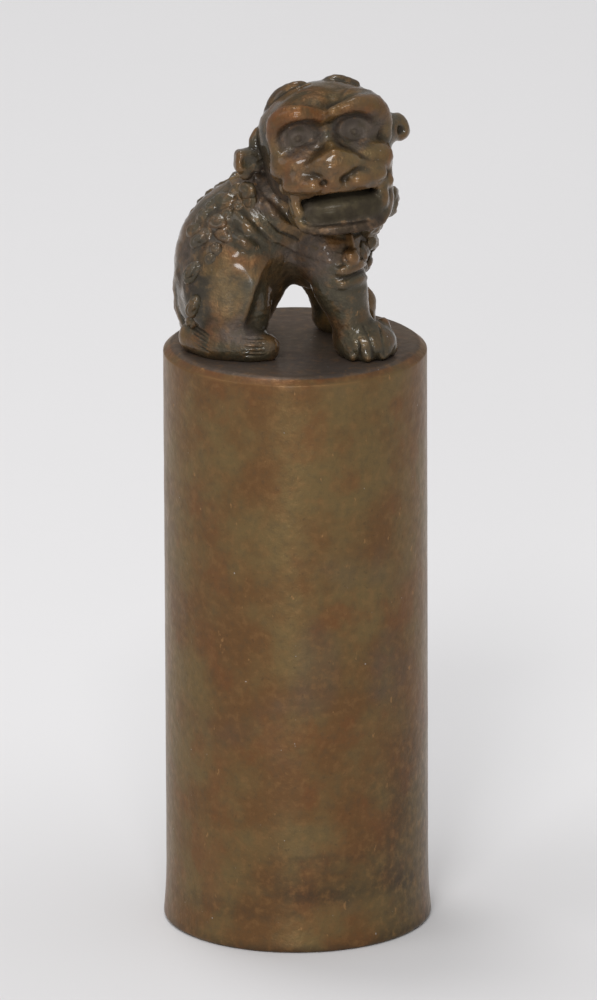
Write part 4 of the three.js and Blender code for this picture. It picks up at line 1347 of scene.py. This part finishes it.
def sweep(name, profile, material):
    """A wide sheet that follows a profile of (depth, height), in metres."""
    sides = (-STAGE_HALF_WIDTH, STAGE_HALF_WIDTH)
    corners = [(x, -depth, height) for depth, height in profile for x in sides]
    faces = [(2 * i, 2 * i + 1, 2 * i + 3, 2 * i + 2) for i in range(len(profile) - 1)]
    mesh = bpy.data.meshes.new(name)
    mesh.from_pydata(corners, [], faces)
    mesh.polygons.foreach_set("use_smooth", [True] * len(faces))
    mesh.materials.append(material)
    return new_object(name, mesh)


def light(name, place, width, power):
    lamp = bpy.data.lights.new(name, "AREA")
    lamp.shape, lamp.size, lamp.energy = "DISK", width, power
    holder = new_object(name, lamp)
    holder.location = place
    holder.rotation_euler = (LAMP_TARGET - Vector(place)).to_track_quat("-Z", "Y").to_euler()


def photo_camera():
    """The photograph's viewpoint: from a little above, far off and with a long lens."""
    camera = bpy.data.cameras.new("camera")
    camera.sensor_fit = "VERTICAL"
    camera.sensor_width = camera.sensor_height = SENSOR_SIZE
    camera.lens = PIXELS_PER_MM * CAMERA_DISTANCE / MM * SENSOR_SIZE / PICTURE_HEIGHT
    holder = new_object("camera", camera)
    tilt = math.radians(CAMERA_TILT)
    holder.location = CAMERA_TARGET + CAMERA_DISTANCE * Vector((0, -math.cos(tilt), math.sin(tilt)))
    facing = (CAMERA_TARGET - holder.location).to_track_quat("-Z", "Y").to_matrix()
    holder.rotation_euler = (facing @ Matrix.Rotation(math.radians(CAMERA_ROLL), 3, "Z")).to_euler()
    return holder


class SEALSTAMP_PT_panel(bpy.types.Panel):
    """Lists the stamp's sizes, colours and steps"""

    bl_idname = "SEALSTAMP_PT_panel"
    bl_label = "Seal Stamp"
    bl_space_type = "VIEW_3D"
    bl_region_type = "UI"
    bl_category = "Seal Stamp"

    def draw(self, context):
        for group in (context.scene.seal_stamp.sizes, context.scene.seal_stamp.colours):
            box = self.layout.box()
            for name in group.__annotations__:
                box.prop(group, name)
        for operator in OPERATORS:
            self.layout.operator(operator.bl_idname)


class StampSettings(bpy.types.PropertyGroup):
    """All settings of the stamp"""

    sizes: bpy.props.PointerProperty(type=StampSizes, name="Sizes", description="Sizes of the stamp")
    colours: bpy.props.PointerProperty(type=StampColours, name="Colours", description="Colours of the stamp")


OPERATORS = (
    SEALSTAMP_OT_stage, SEALSTAMP_OT_shank, SEALSTAMP_OT_seal_face, SEALSTAMP_OT_head, SEALSTAMP_OT_body,
)
CLASSES = (StampSizes, StampColours, StampSettings, *OPERATORS, SEALSTAMP_PT_panel)


def register():
    for kind in CLASSES:
        bpy.utils.register_class(kind)
    bpy.types.Scene.seal_stamp = bpy.props.PointerProperty(type=StampSettings)


def unregister():
    del bpy.types.Scene.seal_stamp
    for kind in reversed(CLASSES):
        bpy.utils.unregister_class(kind)


def main():
    register()
    bpy.ops.sealstamp.stage()
    bpy.ops.sealstamp.shank()
    bpy.ops.sealstamp.seal_face()
    bpy.ops.sealstamp.head()
    bpy.ops.sealstamp.body()


if __name__ == "__main__":
    main()
